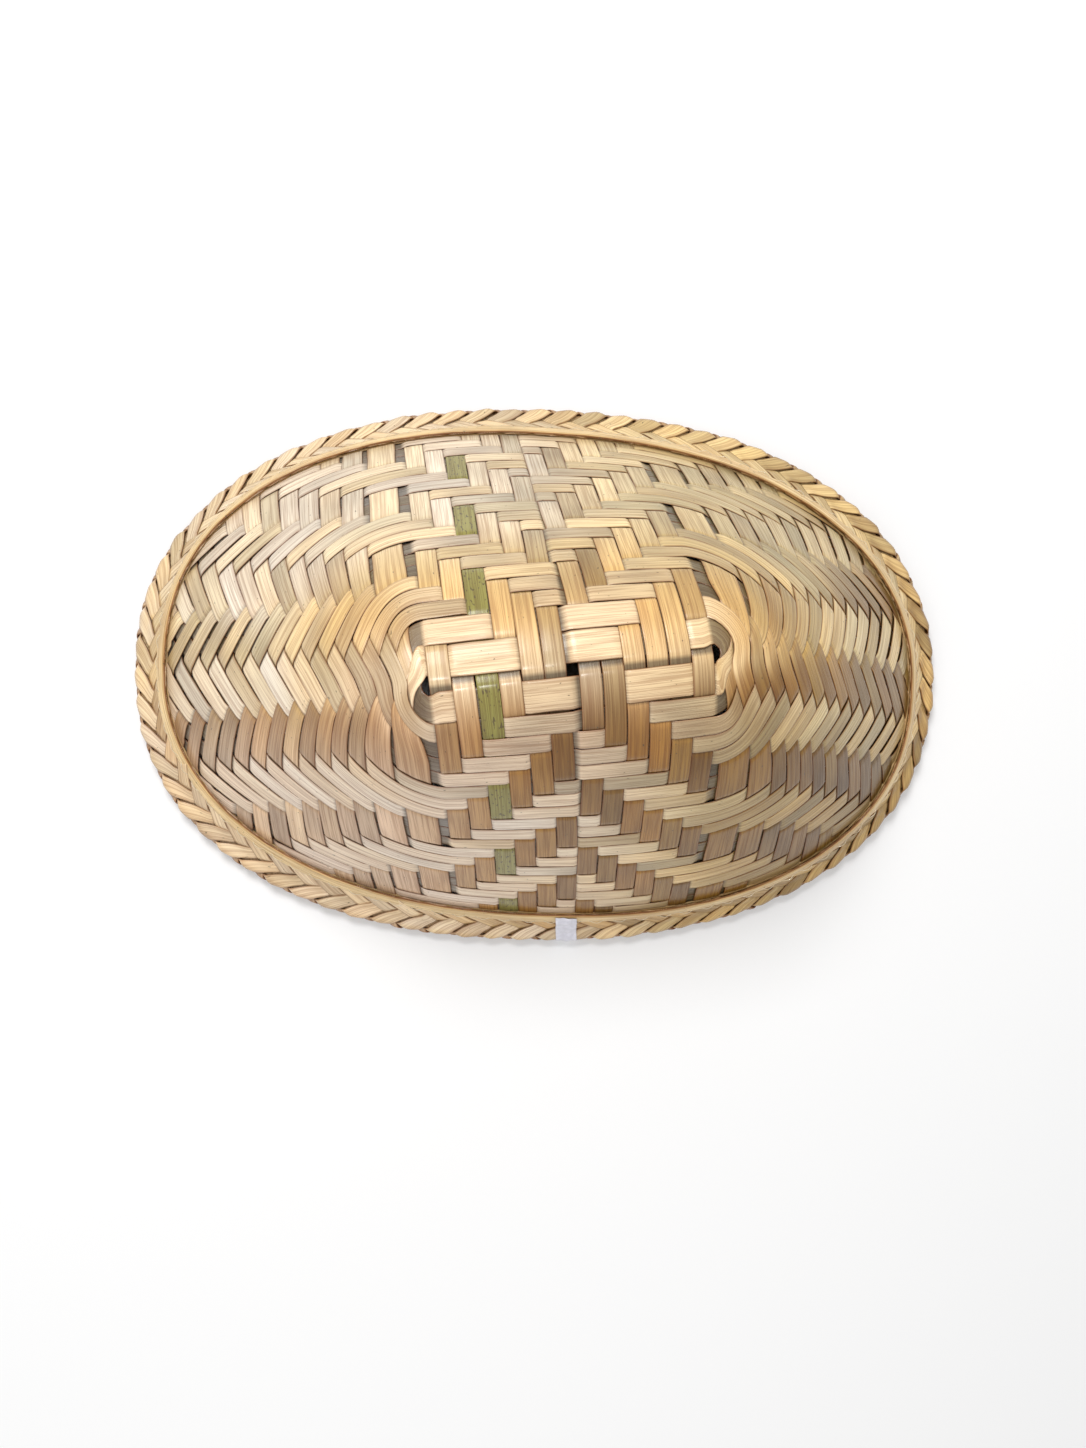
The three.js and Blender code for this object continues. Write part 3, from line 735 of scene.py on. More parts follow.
def splint_tint(colours, points, direction, rng, t, olive):
    """The colour along one splint, on the grid of its points.

    Split bamboo is satin, and its tint carries a painted sheen: it goes from tan to cream the
    squarer its fibres lie to the light. Over that lie washes of painted light: a pink sheen along
    the front, a silver sheen at the left and gold light behind the ridge. The olive at the right is
    partly the splint's own colour and partly painted shade. The flat top is a little darker, the
    front has painted light in pink at its left and painted shade in tan at its right, and the right
    side loses blue. A random tone, slow waves along t and the painted light and shade of each place
    make each splint its own.
    """
    x, y, z = np.moveaxis(points, -1, 0)
    front = ramp(y, low=0.0, high=-0.04)
    right = ramp(x, low=0.01, high=0.07)
    square = fibre_light(x, direction, front)
    # Painted sheen: tan where the fibres lie along the light, cream where they lie square to it
    tint = blend_colours(colours.tan, colours.cream, ramp(square, low=0.15, high=0.85))
    # Painted sheen: pink along the front
    rosy_sheen = ramp(y, low=0.005, high=-0.045) * smooth(square * 1.3 - 0.5) * (1 - 0.8 * right)
    tint = blend_colours(tint, colours.pink, ROSY_SHEEN * rosy_sheen)
    # Painted sheen: silver on the lit left
    sheen = ramp(square, low=0.66, high=0.92) * ramp(x, low=0.03, high=-0.03)
    sheen = sheen * ramp(z, low=0.085, high=0.065)
    tint = blend_colours(tint, colours.silver, rng.uniform(*SHEEN) * sheen)
    # Painted light: gold behind the ridge
    golden_light = ramp(z, low=0.05, high=0.095) * ramp(y, low=-0.004, high=0.016)
    golden_light = golden_light * (1 - direction[..., 0] ** 2)
    tint = blend_colours(tint, colours.gold, GOLDEN_LIGHT * golden_light)
    # The splint's own olive, and painted shade at the right where the fibres lie along the light
    dull_shade = ramp(x, low=0.01, high=0.11) * (1 - square)
    tint = blend_colours(tint, colours.olive, olive + DULL_SHADE * dull_shade)
    tint = tint * (1 - ramp(z, low=0.072, high=0.097)[..., None] * TOP_LOSS)
    # Painted light in pink at the front left, and painted shade in tan at the front right
    lit_front_left = front * ramp(x, low=-0.01, high=-0.06)
    tint = blend_colours(tint, colours.pink, FRONT_LIGHT_AND_SHADE * lit_front_left)
    tint = blend_colours(tint, colours.tan, FRONT_LIGHT_AND_SHADE * front * right)
    warmer = ramp(x, low=0.0, high=0.06) * (0.45 + 0.55 * front) * (1.25 - 0.5 * square)
    tint = tint * (1 - warmer[..., None] * RIGHT_LOSS)
    tone = rng.uniform(*SPLINT_TONES) + sway(rng, t, waves=(0.023, 0.074, 0.19), strength=0.22)
    warm = rng.uniform(*SPLINT_WARMTH)
    shift = np.array([1 + warm, 1 + rng.uniform(*SPLINT_GREEN), 1 - 1.6 * warm])
    # Painted light and shade from place to place, times the splint's random tone
    shade = tone[:, None] * painted_side_shade(x, y, front, square)
    return held_below(tint * shade[..., None] * shift, BRIGHTEST)


def make_splint(node, wall, colours, material, seed, place, t, band, lift, olive=0.0, skin=None):
    """One splint: a thin crowned strip along place(t, across), between the two edges of its band.

    Its real width stays the same: half the width over the lattice's scale there, and never more
    than its share of the pitch. A point of the section lies at e of the half width and h of the
    thickness, lifted by the weave and by the crown times 1 - e^2. It darkens where it dives under a
    crossing splint, which is painted shade, and takes the edge colour towards its cut edges, partly
    their own colour and partly painted shade in the gaps. A splint that kept its skin has one
    colour.
    """
    sizes = wall.sizes
    rng = np.random.default_rng(seed)
    low, high = band
    middle = (low + high) / 2
    pitch = high - low
    _, direction, scale = local_axes(place, t, middle)
    half = pitch / 2 * sizes.fullness * rng.uniform(*SPLINT_WIDTHS)
    half = half * (1 + sway(rng, t, waves=(0.013, 0.029, 0.083), strength=0.04))
    room = pitch / 2 - sizes.slit * (1 + sway(rng, t, waves=(0.011, 0.027), strength=0.9))
    half = np.minimum(half / scale, room)
    wander = sway(rng, t, waves=(0.037, 0.11), strength=0.00022)
    e, h = SECTION_ACROSS[None, :], SECTION_UP[None, :]
    grid_t = np.repeat(t[:, None], e.shape[1], axis=1)
    grid_across = (middle + wander)[:, None] + e * half[:, None]
    normal, _, _ = local_axes(place, grid_t, grid_across)
    lean = sway(rng, t, waves=(0.017, 0.045), strength=0.00011)
    up = (lift * sizes.reach)[:, None] + h * sizes.thickness + sizes.crown * (1 - e**2)
    up = up + lean[:, None] * e
    points = place(grid_t, grid_across) + normal * up[..., None]
    ways = np.repeat(direction[:, None, :], e.shape[1], axis=1)
    tint = splint_tint(colours, points, ways, rng, t, olive)
    # Painted shade where the splint dives under a crossing splint
    painted_dive_shade = 1 - sizes.dive_shade * ramp(lift, low=0.3, high=-0.7)
    tint = tint * painted_dive_shade[:, None, None]
    # Towards the cut edges: their own colour, and painted shade in the gaps between splints
    edge_brown_and_gap_shade = np.interp(np.abs(SECTION_ACROSS), EDGE_ACROSS, EDGE_BROWN_AND_GAP_SHADE)
    tint = blend_colours(tint, colours.edge, edge_brown_and_gap_shade[None, :] + 0 * grid_t)
    if skin is not None:
        tint = np.broadcast_to(np.asarray(skin), tint.shape)
    start = rng.uniform(0, 5)
    width = (grid_across - middle[:, None]) * scale[:, None] + rng.uniform(0, 3)
    marks = {"tint": tint, "place": flat_place(grid_t + start, width)}
    return make_object("woven_" + node, points, False, marks, material)


class Rim:
    """The braid's cross-section carried round the mouth.

    s is the way round the mouth's foot line, w the way down the outer leaf from the braid's upper
    edge, round the mouth's edge and up the inner leaf, and lift the height over that leaf.
    """

    def __init__(self, wall, rim):
        """Works out the ways round the mouth, and the leaf's own way w for its middle spread."""
        sizes, half = wall.sizes, wall.half
        fan = sizes.ridge_fan
        quarter = math.pi / 2 + fan
        b = np.linspace(-1, 1, QUARTER_STEPS + 1)[:-1]
        along = np.concatenate([half + 0 * b, -half * b, -half + 0 * b, half * b])
        right, back = quarter * b, math.pi / 2 - fan * b
        left, front = math.pi + quarter * b, 1.5 * math.pi - fan * b
        angle = np.concatenate([right, back, left, front])
        way = wall.slant_to(angle)
        foot = wall.point(along, angle, way + sizes.braid_band)
        gaps = np.linalg.norm(np.diff(np.vstack([foot, foot[:1]])[:, :2], axis=0), axis=1)
        self.s = np.append(0, np.cumsum(gaps))
        self.length = self.s[-1]
        top = wall.point(along, angle, way)
        heading = np.unwrap(angle + sizes.ridge_turn)
        spread = np.hypot(*(foot - top)[:, :2].T)
        round_once = ((top[:, 0], 0), (top[:, 1], 0), (heading, 2 * math.pi), (spread, 0))
        self.table = [np.append(values, values[0] + gain) for values, gain in round_once]
        self.top = sizes.braid_top
        self.leaf = rim.lift
        self.lip = rim.lip
        self.fold = rim.fold
        self.fold_height = rim.fold_height
        self.u = np.linspace(0, LEAF_SPANS, LEAF_SPANS * SPAN_STEPS + 1)
        h, z = self.profile(np.full_like(self.u, spread.mean()), self.u)[:2]
        self.w = np.append(0, np.cumsum(np.hypot(np.diff(h), np.diff(z))))
        first = 3 * QUARTER_STEPS
        middle = np.clip(rim.tie_middle, -half, half)
        self.tie_s = float(np.interp(middle, along[first:], self.s[first:-1]))

    def profile(self, spread, u):
        """A smooth curve through nine points of the folded leaf, and its slope.

        Three points lie on the outer leaf, four on the round fold at the mouth's edge and two on
        the inner leaf. Between two points runs a Catmull-Rom cubic.
        """
        way = np.hypot(spread, self.top)
        out_h, out_z = self.top / way, spread / way
        lean = np.arctan2(out_z, out_h)

        def on_wall(share, lift):
            """A share of the way down the wall's straight foot, and lifted off it."""
            return spread * share + out_h * lift, self.top * (1 - share) + out_z * lift

        def on_fold(degrees):
            """On the round fold, so many degrees up from the wall's outward normal."""
            angle = lean + math.radians(degrees)
            h = spread + self.lip + self.fold * (np.cos(angle) - 1)
            return h, self.fold_height + self.fold * np.sin(angle)

        points = [on_wall(share, self.leaf + extra) for share, extra in OUTER_LEAF]
        points += [on_fold(degrees) for degrees in FOLD_DEGREES]
        points += [on_wall(share, -self.leaf) for share in INNER_LEAF]
        points = np.array([points[0], *points, points[-1]])
        first = np.clip(np.floor(u).astype(int), 0, LEAF_SPANS - 1)
        f = u - first
        p0, p1, p2, p3 = (points[first + step, :, np.arange(len(u))].T for step in range(4))
        c1 = (p2 - p0) / 2
        c2 = p0 - 2.5 * p1 + 2 * p2 - p3 / 2
        c3 = (p3 - p0) / 2 + 1.5 * (p1 - p2)
        h, z = p1 + c1 * f + c2 * f**2 + c3 * f**3
        slope_h, slope_z = c1 + 2 * c2 * f + 3 * c3 * f**2
        return h, z, slope_h, slope_z

    def place(self, s, w, lift):
        """The point at s round the mouth, w along the leaf and lift over it.

        What would lie lower than PRESSED_BELOW is pressed up towards it.
        """
        s, w, lift = np.broadcast_arrays(s, w, lift)
        shape = s.shape
        s, w, lift = (a.ravel() for a in (s, w, lift))
        turns = np.floor(s / self.length)
        around = s - turns * self.length
        x, y, heading, spread = (np.interp(around, self.s, a) for a in self.table)
        h, z, dh, dz = self.profile(spread, np.interp(w, self.w, self.u))
        size = np.hypot(dh, dz)
        h, z = h - dz / size * lift, z + dh / size * lift
        pressed = PRESSED_BELOW - (PRESSED_BELOW - z) * PRESSED_SHARE
        z = np.where(z < PRESSED_BELOW, pressed, z)
        points = np.stack([x + np.cos(heading) * h, y + np.sin(heading) * h, z], -1)
        return points.reshape(*shape, 3)


def plait_height(step, strands):
    """How high a strand lies at its step of the plait, from -1 under to +1 over.

    A strand takes one step for each of the strands that it crosses. On its way out it goes over
    two, under two and so on, and on its way back it does the opposite at the same places. Between
    two crossings a smooth step joins their heights.
    """
    out = [1.0 if (k - 1) % 4 < 2 else -1.0 for k in range(1, strands)]
    heights = np.array([0.0] + out + [0.0] + [-h for h in reversed(out)])
    count = len(heights)
    i = np.floor(step).astype(int)
    share = ramp(step - i, low=0.2, high=0.8)
    return heights[i % count] * (1 - share) + heights[(i + 1) % count] * share


def plait_strand(rim_map, rim, number, colours, material):
    """One closed strand of the flat plait, which goes round the mouth more than once.

    Its middle line sways across the folded leaf by a pointed wave, arcsin(k cos(2 pi phase)) over
    arcsin(k). The strip lies square to that line, and its height follows plait_height, with the
    crossings slanted as the crossing strands are. Round the fold it rises further, by a bell
    curve over w, and one of its edges stands up. Each half wave is a leaf with its own tone.
    """
    rng = np.random.default_rng(STRAND_SEED + number)
    rounds = rim.strands // math.gcd(rim.strands, rim.teeth)
    count = rim.teeth * rounds * TOOTH_STEPS
    s = np.arange(count) / count * rounds * rim_map.length
    period = rim_map.length / rim.teeth * rim.strands
    phase = s / period + number / rim.strands
    wave = np.arcsin(POINTEDNESS * np.cos(2 * math.pi * phase)) / math.asin(POINTEDNESS)
    w = rim.plait_middle - rim.plait_sway * wave
    slope = (np.roll(w, -1) - np.roll(w, 1)) / (2 * rounds * rim_map.length / count)
    e = there_and_back(-1, 1, STRAND_POINTS)
    h = two_sides(0.5, -0.5, STRAND_POINTS)
    half = 1 + sway(rng, s, waves=(0.017, 0.041), strength=0.10)
    half = rim.strand_width / 2 * half[:, None]
    size = np.sqrt(1 + slope**2)[:, None]
    grid_s = s[:, None] - e * half * slope[:, None] / size
    grid_w = w[:, None] + e * half / size
    steepest = np.abs(slope).max()
    angle = math.atan(steepest)
    shift = half * e / math.tan(2 * angle) / (period / (2 * rim.strands) / math.cos(angle))
    step = 2 * rim.strands * phase[:, None] + shift * (slope / steepest)[:, None]
    height = np.maximum(plait_height(step, rim.strands) + STRAND_LIFT, STRAND_LOWEST)
    at_fold = np.exp(-(((grid_w - FOLD_PLACE) / FOLD_REACH) ** 2))
    rise = (1 + sway(rng, s, waves=(0.031, 0.057), strength=0.25))[:, None]
    rise = rise * (1 + FOLD_GAIN * at_fold)
    lean = sway(rng, s, waves=(0.019, 0.033), strength=0.0004)[:, None]
    lean = lean + FOLD_TILT * at_fold * np.sign(slope)[:, None]
    up = rim.plait_lift * height * rise + lean * e
    up = up + h * rim.strand_thickness + STRAND_CROWN * (1 - e**2)
    points = rim_map.place(grid_s, grid_w, up)
    along = unit(np.roll(points, -1, axis=0) - np.roll(points, 1, axis=0))
    # The plait gets the same painted sheen, light and shade as the splints
    tint = splint_tint(colours, points, along, rng, s, olive=0.0)
    tint = blend_colours(tint, colours.plait, np.full(grid_s.shape, PLAIT_SHARE))
    leaves = 2 * rounds * rim.teeth // rim.strands
    leaf_tone = rng.uniform(*LEAF_TONES, leaves)[np.floor(2 * phase).astype(int) % leaves]
    tint = held_below(tint * leaf_tone[:, None, None], BRIGHTEST)
    # Painted shade: brown on the undersides near the floor
    foot_shade = ramp(points[..., 2], low=0.0064, high=0.0030)
    tint = blend_colours(tint, colours.edge, FOOT_SHADE * foot_shade)
    # The strands' cut edges: their own colour, and painted shade between the strands
    strand_edge_brown_and_shade = np.where(np.abs(e) >= 1, STRAND_EDGE_BROWN_AND_SHADE, 0.0 * grid_s)
    tint = blend_colours(tint, colours.edge, strand_edge_brown_and_shade)
    place = flat_place(grid_s + number * PATTERN_SHIFT, e * half + rng.uniform(0, 3))
    marks = {"tint": tint, "place": place}
    return make_object("rim_strand_%d" % (number + 1), points, True, marks, material)


def rim_strip(rim_map, rng, name, material, tint, middle, half, up, thickness, waves):
    """A strip that follows the rim at w = middle, half wide to each side.

    Its place, width, height and tone sway along it, and it is arched by half its thickness times
    1 - e^2.
    """
    s = np.arange(STRIP_RINGS) / STRIP_RINGS * rim_map.length
    e, h = SECTION_ACROSS[None, :], SECTION_UP[None, :]
    shift = sway(rng, s, waves, strength=0.00028)[:, None]
    widths = half * (1 + sway(rng, s, waves, strength=0.16))[:, None]
    height = up + sway(rng, s, waves, strength=0.00016)[:, None]
    height = height + h * thickness + thickness / 2 * (1 - e**2)
    points = rim_map.place(s[:, None], middle + shift + e * widths, height)
    tone = 1 + sway(rng, s, waves=(0.019, 0.052, 0.15), strength=0.12)
    place = flat_place(s[:, None], e * widths + rng.uniform(0, 3))
    marks = {"tint": tint[None] * tone[:, None, None], "place": place}
    return make_object(name, points, True, marks, material)


def rim_core(rim_map, colours, material):
    """The folded core: a closed leaf between two lifts below the plait, carried round the mouth."""
    s = np.arange(CORE_RINGS)[:, None] / CORE_RINGS * rim_map.length
    w = there_and_back(CORE_START, rim_map.w[-1], CORE_POINTS)
    points = rim_map.place(s, w, two_sides(*CORE_LIFTS, CORE_POINTS))
    tint = np.broadcast_to(np.asarray(colours.plait) * 0.80, points.shape)
    marks = {"tint": tint, "place": flat_place(s, w)}
    return make_object("rim_core", points, True, marks, material)


def running_stitch(rim_map, rim, colours, material):
    """The thread: a round tube whose height over the leaf is a cosine with one wave a stitch.

    Its way down the leaf wanders by a sine with one wave in two stitches.
    """
    stitches = int(rim_map.length / rim.stitch_pitch)
    count = stitches * STITCH_STEPS
    s = np.arange(count)[:, None] / count * rim_map.length
    around = 2 * math.pi * np.arange(THREAD_SIDES)[None, :] / THREAD_SIDES
    phase = 2 * math.pi * s * stitches / rim_map.length
    up = rim.stitch_lift + rim.stitch_wave * np.cos(phase)
    w = rim.stitch_middle + rim.stitch_wander * np.sin(phase / 2)
    w = w + rim.thread / 2 * np.sin(around)
    points = rim_map.place(s, w, up + rim.thread / 2 * np.cos(around))
    tint = np.broadcast_to(np.asarray(colours.thread), points.shape)
    marks = {"tint": tint, "place": flat_place(s, w)}
    return make_object("thread", points, True, marks, material)


def wound_tape(rim_map, rim, material):
    """The tape: a leaf wound over the braid, from its upper edge round the fold and up inside.

    Two sines crease it, and a small bump stands where it passes the strip below the hoop.
    """
    x = np.linspace(-1, 1, TAPE_RINGS)[:, None]
    s = rim_map.tie_s + x * rim.tie_width / 2
    w = there_and_back(rim.tie_top, rim_map.w[-1], TAPE_POINTS)
    creases = 0.00018 * np.sin(w * 900 + x * 2.0) + 0.0001 * np.sin(x * 7 + w * 500)
    bump = ramp(w, low=0.0018, high=0.0022) * ramp(w, low=0.0042, high=0.0036)
    under = two_sides(0.0, rim.tie_thickness, TAPE_POINTS)
    points = rim_map.place(s, w, rim.tie_lift + creases + rim.tie_bump * bump - under)
    return make_object("tape", points, False, {"place": flat_place(s, w)}, material)


class Wire:
    """A shader value. Arithmetic with numbers and other wires adds Math nodes."""

    def __init__(self, maker, socket):
        self.maker = maker
        self.socket = socket

    def __add__(self, other):
        return self.maker.math("ADD", self, other)

    def __radd__(self, other):
        return self.maker.math("ADD", other, self)

    def __rsub__(self, other):
        return self.maker.math("SUBTRACT", other, self)

    def __mul__(self, other):
        return self.maker.math("MULTIPLY", self, other)

    def __rmul__(self, other):
        return self.maker.math("MULTIPLY", other, self)


class Finish:
    """A material under construction."""

    def __init__(self, name):
        self.material = bpy.data.materials.new(name)
        self.material.use_nodes = True
        self.tree = self.material.node_tree
        self.tree.nodes.clear()

    def node(self, kind, settings, inputs, output=0):
        """A node of any kind: its settings first, then the values or wires of its sockets."""
        made = self.tree.nodes.new(kind)
        for key, value in settings.items():
            setattr(made, key, value)
        for key, value in inputs.items():
            if isinstance(value, Wire):
                self.tree.links.new(value.socket, made.inputs[key])
            else:
                made.inputs[key].default_value = value
        return Wire(self, made.outputs[output] if made.outputs else None)

    def math(self, operation, first, second):
        """One Math node."""
        return self.node("ShaderNodeMath", {"operation": operation}, {0: first, 1: second})

    def between(self, value, low, high):
        """0 at low, 1 at high and smooth between."""
        settings = {"interpolation_type": "SMOOTHSTEP", "clamp": True}
        return self.node("ShaderNodeMapRange", settings, {0: value, 1: low, 2: high})

    def mix(self, share, first, second, kind="MIX"):
        """Two colours mixed."""
        settings = {"data_type": "RGBA", "blend_type": kind}
        return self.node("ShaderNodeMix", settings, {0: share, 6: first, 7: second}, 2)

    def scaled(self, shade, amount):
        """A colour times a number."""
        inputs = {0: shade, "Scale": amount}
        return self.node("ShaderNodeVectorMath", {"operation": "SCALE"}, inputs)

    def bump(self, height, strength, distance):
        """A bumped normal."""
        inputs = {"Strength": strength, "Distance": distance, "Height": height}
        return self.node("ShaderNodeBump", {}, inputs)

    def along_grain(self, along, across, detail=2.0, seed=0.0):
        """Noise drawn out along the grain: one grain is 1/along by 1/across metres."""
        where = self.node("ShaderNodeUVMap", {"uv_map": "place"}, {})
        inputs = {"Vector": where, "Scale": (along, across, 1.0), "Location": (seed, seed, seed)}
        stretched = self.node("ShaderNodeMapping", {}, inputs)
        inputs = {"Vector": stretched, "Scale": 1.0, "Detail": detail, "Roughness": 0.6}
        return self.node("ShaderNodeTexNoise", {"noise_dimensions": "2D"}, inputs)

    def surface(self, inputs):
        """Ends the material in a Principled shader."""
        shader = self.node("ShaderNodeBsdfPrincipled", {}, inputs)
        self.node("ShaderNodeOutputMaterial", {}, {"Surface": shader})
        return self.material


def bamboo_finish(name, fibre, speck, gloss):
    """Split bamboo: the piece's own tint with drawn-out fibres, slow blotches and a few specks."""
    finish = Finish(name)
    tint = finish.node("ShaderNodeAttribute", {"attribute_name": "tint"}, {})
    wide = finish.along_grain(along=26.0, across=1150.0, detail=3.0, seed=0.0)
    fine = finish.along_grain(along=45.0, across=3300.0, detail=2.0, seed=7.3)
    streak = finish.between(wide * 0.5 + fine * 0.5, low=0.38, high=0.60)
    blotch = finish.along_grain(along=34.0, across=160.0, detail=2.0, seed=3.1)
    dots = finish.along_grain(along=520.0, across=1050.0, detail=1.0, seed=5.7)
    specks = finish.between(dots, low=0.78 - speck, high=0.84 - speck)
    shade = finish.mix(0.46 - 0.46 * streak, tint, (*fibre, 1.0), "MULTIPLY")
    shade = finish.scaled(shade, 0.90 + 0.22 * blotch)
    shade = finish.mix(specks * 0.8, shade, SPECK_COLOUR)
    return finish.surface(
        {
            "Base Color": shade,
            "Roughness": gloss + 0.16 - 0.16 * streak,
            "Normal": finish.bump(streak, strength=0.55, distance=0.00012),
            "Specular IOR Level": 0.36,
            "Coat Weight": 0.38,
            "Coat Roughness": 0.20,
        }
    )


def thread_finish(colours):
    """Clear thread: glossy and a little see-through."""
    return Finish("Clear thread").surface(
        {
            "Base Color": (*colours.thread, 1.0),
            "Roughness": 0.12,
            "Alpha": 0.75,
            "Coat Weight": 0.5,
            "Coat Roughness": 0.08,
        }
    )


def tape_finish(colours):
    """White tape: fine creases in its height, and painted shade in their hollows."""
    finish = Finish("White tape")
    where = finish.node("ShaderNodeTexCoord", {}, {}, "Object")
    inputs = {"Vector": where, "Scale": 420.0, "Detail": 2.0}
    crease = finish.node("ShaderNodeTexNoise", {}, inputs)
    bump = finish.bump(crease, strength=0.5, distance=0.0004)
    # Painted shade: darker where the creases lie low
    darker = (*(0.86 * c for c in colours.tape), 1.0)
    shade = finish.mix(finish.between(crease, low=0.35, high=0.7), darker, (*colours.tape, 1.0))
    return finish.surface(
        {
            "Base Color": shade,
            "Roughness": 0.30,
            "Normal": bump,
            "Coat Weight": 0.3,
            "Coat Roughness": 0.15,
        }
    )


def floor_finish(colours):
    """Pale floor: it fades out into the backdrop far from the basket."""
    finish = Finish("Pale floor")
    where = finish.node("ShaderNodeTexCoord", {}, {}, "Object")
    far = finish.node("ShaderNodeVectorMath", {"operation": "LENGTH"}, {0: where}, "Value")
    return finish.surface(
        {
            "Base Color": (*colours.floor, 1.0),
            "Roughness": 0.9,
            "Specular IOR Level": 0.0,
            "Alpha": 1 - finish.between(far, low=0.45, high=0.95),
        }
    )


class BASKET_OT_ridge(bpy.types.Operator):
    """Makes the twelve splints that fold over the ridge"""

    bl_idname = "basket.ridge_splints"
    bl_label = "Ridge splints"

    def execute(self, context):
        colours = context.scene.basket_colours
        wall = Wall(context.scene.basket_sizes)
        bamboo = bamboo_finish("Split bamboo", colours.fibre, speck=0.0, gloss=0.34)
        skin = bamboo_finish("Green bamboo skin", colours.fibre, speck=0.14, gloss=0.30)
        end = wall.front_way + wall.sizes.tuck
        t = np.linspace(-end, end, int(2 * end / SPLINT_STEP))
        edges = np.concatenate([-wall.front_edges[-2:0:-1], [0.0], wall.back_edges[1:-1]])
        for number in range(1, RIDGE_SPLINTS + 1):
            green = number == GREEN_SPLINT
            node = "ridge_splint_green" if green else "ridge_splint_%d" % number
            made = make_splint(
                node,
                wall,
                colours,
                skin if green else bamboo,
                seed=RIDGE_SEED + number,
                place=wall.ridge_point,
                t=t,
                band=[np.full_like(t, edge) for edge in wall.ridge_edges(number)],
                lift=change_sides(t, edges, ridge_states(number), wall.sizes.ease),
                olive=OLIVE_RIDGE.get(number, 0.0),
                skin=colours.green if green else None,
            )
            fit(made, node)
        return {"FINISHED"}


class BASKET_OT_rows(bpy.types.Operator):
    """Makes the splints that run along the front and the back and round both ends"""

    bl_idname = "basket.row_splints"
    bl_label = "Row splints"

    def execute(self, context):
        colours = context.scene.basket_colours
        wall = Wall(context.scene.basket_sizes)
        bamboo = bpy.data.materials["Split bamboo"]
        front, back = wall.front_edges, wall.back_edges
        for is_front, own, others, seed, olives, words in (
            (True, front, back, FRONT_SEED, OLIVE_FRONT, "front_splint_%d"),
            (False, back, front, BACK_SEED, OLIVE_BACK, "back_splint_%d"),
        ):

            def place(along, across, front_row=is_front):
                """The place of these rows' points."""
                return wall.row_point(along, across, front_row)

            for row in range(1, len(own)):
                low, high = own[row - 1], own[row]
                outer = high - wall.sizes.slit
                first = -wall.half - wall.end_of_run(outer, is_front, False)
                last = wall.half + wall.end_of_run(outer, is_front, True)
                t = np.linspace(first, last, int((last - first) / SPLINT_STEP))
                edges = wall.row_crossings(low, high, others)
                made = make_splint(
                    words % row,
                    wall,
                    colours,
                    bamboo,
                    seed=seed + row,
                    place=place,
                    t=t,
                    band=wall.row_band(t, low, high),
                    lift=change_sides(t, edges, row_states(row, is_front), wall.sizes.ease),
                    olive=olives.get(row, 0.0),
                )
                fit(made, words % row)
        return {"FINISHED"}


def rim_parts(scene):
    """What each step of the rim needs: its sizes, the colours and its cross-section."""
    rim = scene.basket_rim
    return rim, scene.basket_colours, Rim(Wall(scene.basket_sizes), rim)


class BASKET_OT_braid(bpy.types.Operator):
    """Makes the folded core and the plait of the rim"""

    bl_idname = "basket.rim_braid"
    bl_label = "Rim braid"

    def execute(self, context):
        rim, colours, rim_map = rim_parts(context.scene)
        material = bamboo_finish("Plaited bamboo", colours.fibre, speck=0.0, gloss=0.40)
        pieces = [rim_core(rim_map, colours, material)]
        for number in range(math.gcd(rim.strands, rim.teeth)):
            pieces.append(plait_strand(rim_map, rim, number, colours, material))
        for made in pieces:
            fit(made, "rim_braid")
        return {"FINISHED"}


class BASKET_OT_hoop(bpy.types.Operator):
    """Makes the hoop along the braid's upper edge and the flat strip below it"""

    bl_idname = "basket.rim_hoop"
    bl_label = "Rim hoop"

    def execute(self, context):
        rim, colours, rim_map = rim_parts(context.scene)
        material = bpy.data.materials["Plaited bamboo"]
        rng = np.random.default_rng(HOOP_SEED)
        # The hoop's lower edge: its own cut edge's colour, and painted shade under it
        lower_edge_brown_and_shade = ramp(SECTION_ACROSS, low=-0.75, high=-0.95)
        both_edges = ramp(np.abs(SECTION_ACROSS), low=0.9, high=1.0)
        pale = np.asarray(colours.plait) * 0.5 + np.asarray(colours.cream) * 0.5
        hoop = rim_strip(
            rim_map,
            rng,
            "hoop",
            material,
            tint=blend_colours(colours.plait, colours.edge, 0.8 * lower_edge_brown_and_shade),
            middle=rim.hoop_middle,
            half=rim.hoop_width / 2,
            up=rim.hoop_lift,
            thickness=rim.hoop_thickness,
            waves=(0.009, 0.023, 0.07),
        )
        strip = rim_strip(
            rim_map,
            rng,
            "hoop_strip",
            material,
            tint=blend_colours(pale, colours.edge, 0.6 * both_edges),
            middle=rim.strip_top + rim.strip_width / 2,
            half=rim.strip_width / 2,
            up=rim.strip_lift,
            thickness=rim.strip_thickness,
            waves=(0.031, 0.083),
        )
        for made in (hoop, strip):
            fit(made, "rim_hoop")
        return {"FINISHED"}


class BASKET_OT_stitches(bpy.types.Operator):
    """Makes the clear running stitch"""

    bl_idname = "basket.rim_stitching"
    bl_label = "Rim stitching"

    def execute(self, context):
        rim, colours, rim_map = rim_parts(context.scene)
        made = running_stitch(rim_map, rim, colours, thread_finish(colours))
        fit(made, "rim_stitching")
        return {"FINISHED"}


class BASKET_OT_tie(bpy.types.Operator):
    """Makes the white tape wound round the rim at the front"""

    bl_idname = "basket.rim_tie"
    bl_label = "Rim tie"

    def execute(self, context):
        rim, colours, rim_map = rim_parts(context.scene)
        made = wound_tape(rim_map, rim, tape_finish(colours))
        fit(made, "rim_tie")
        return {"FINISHED"}


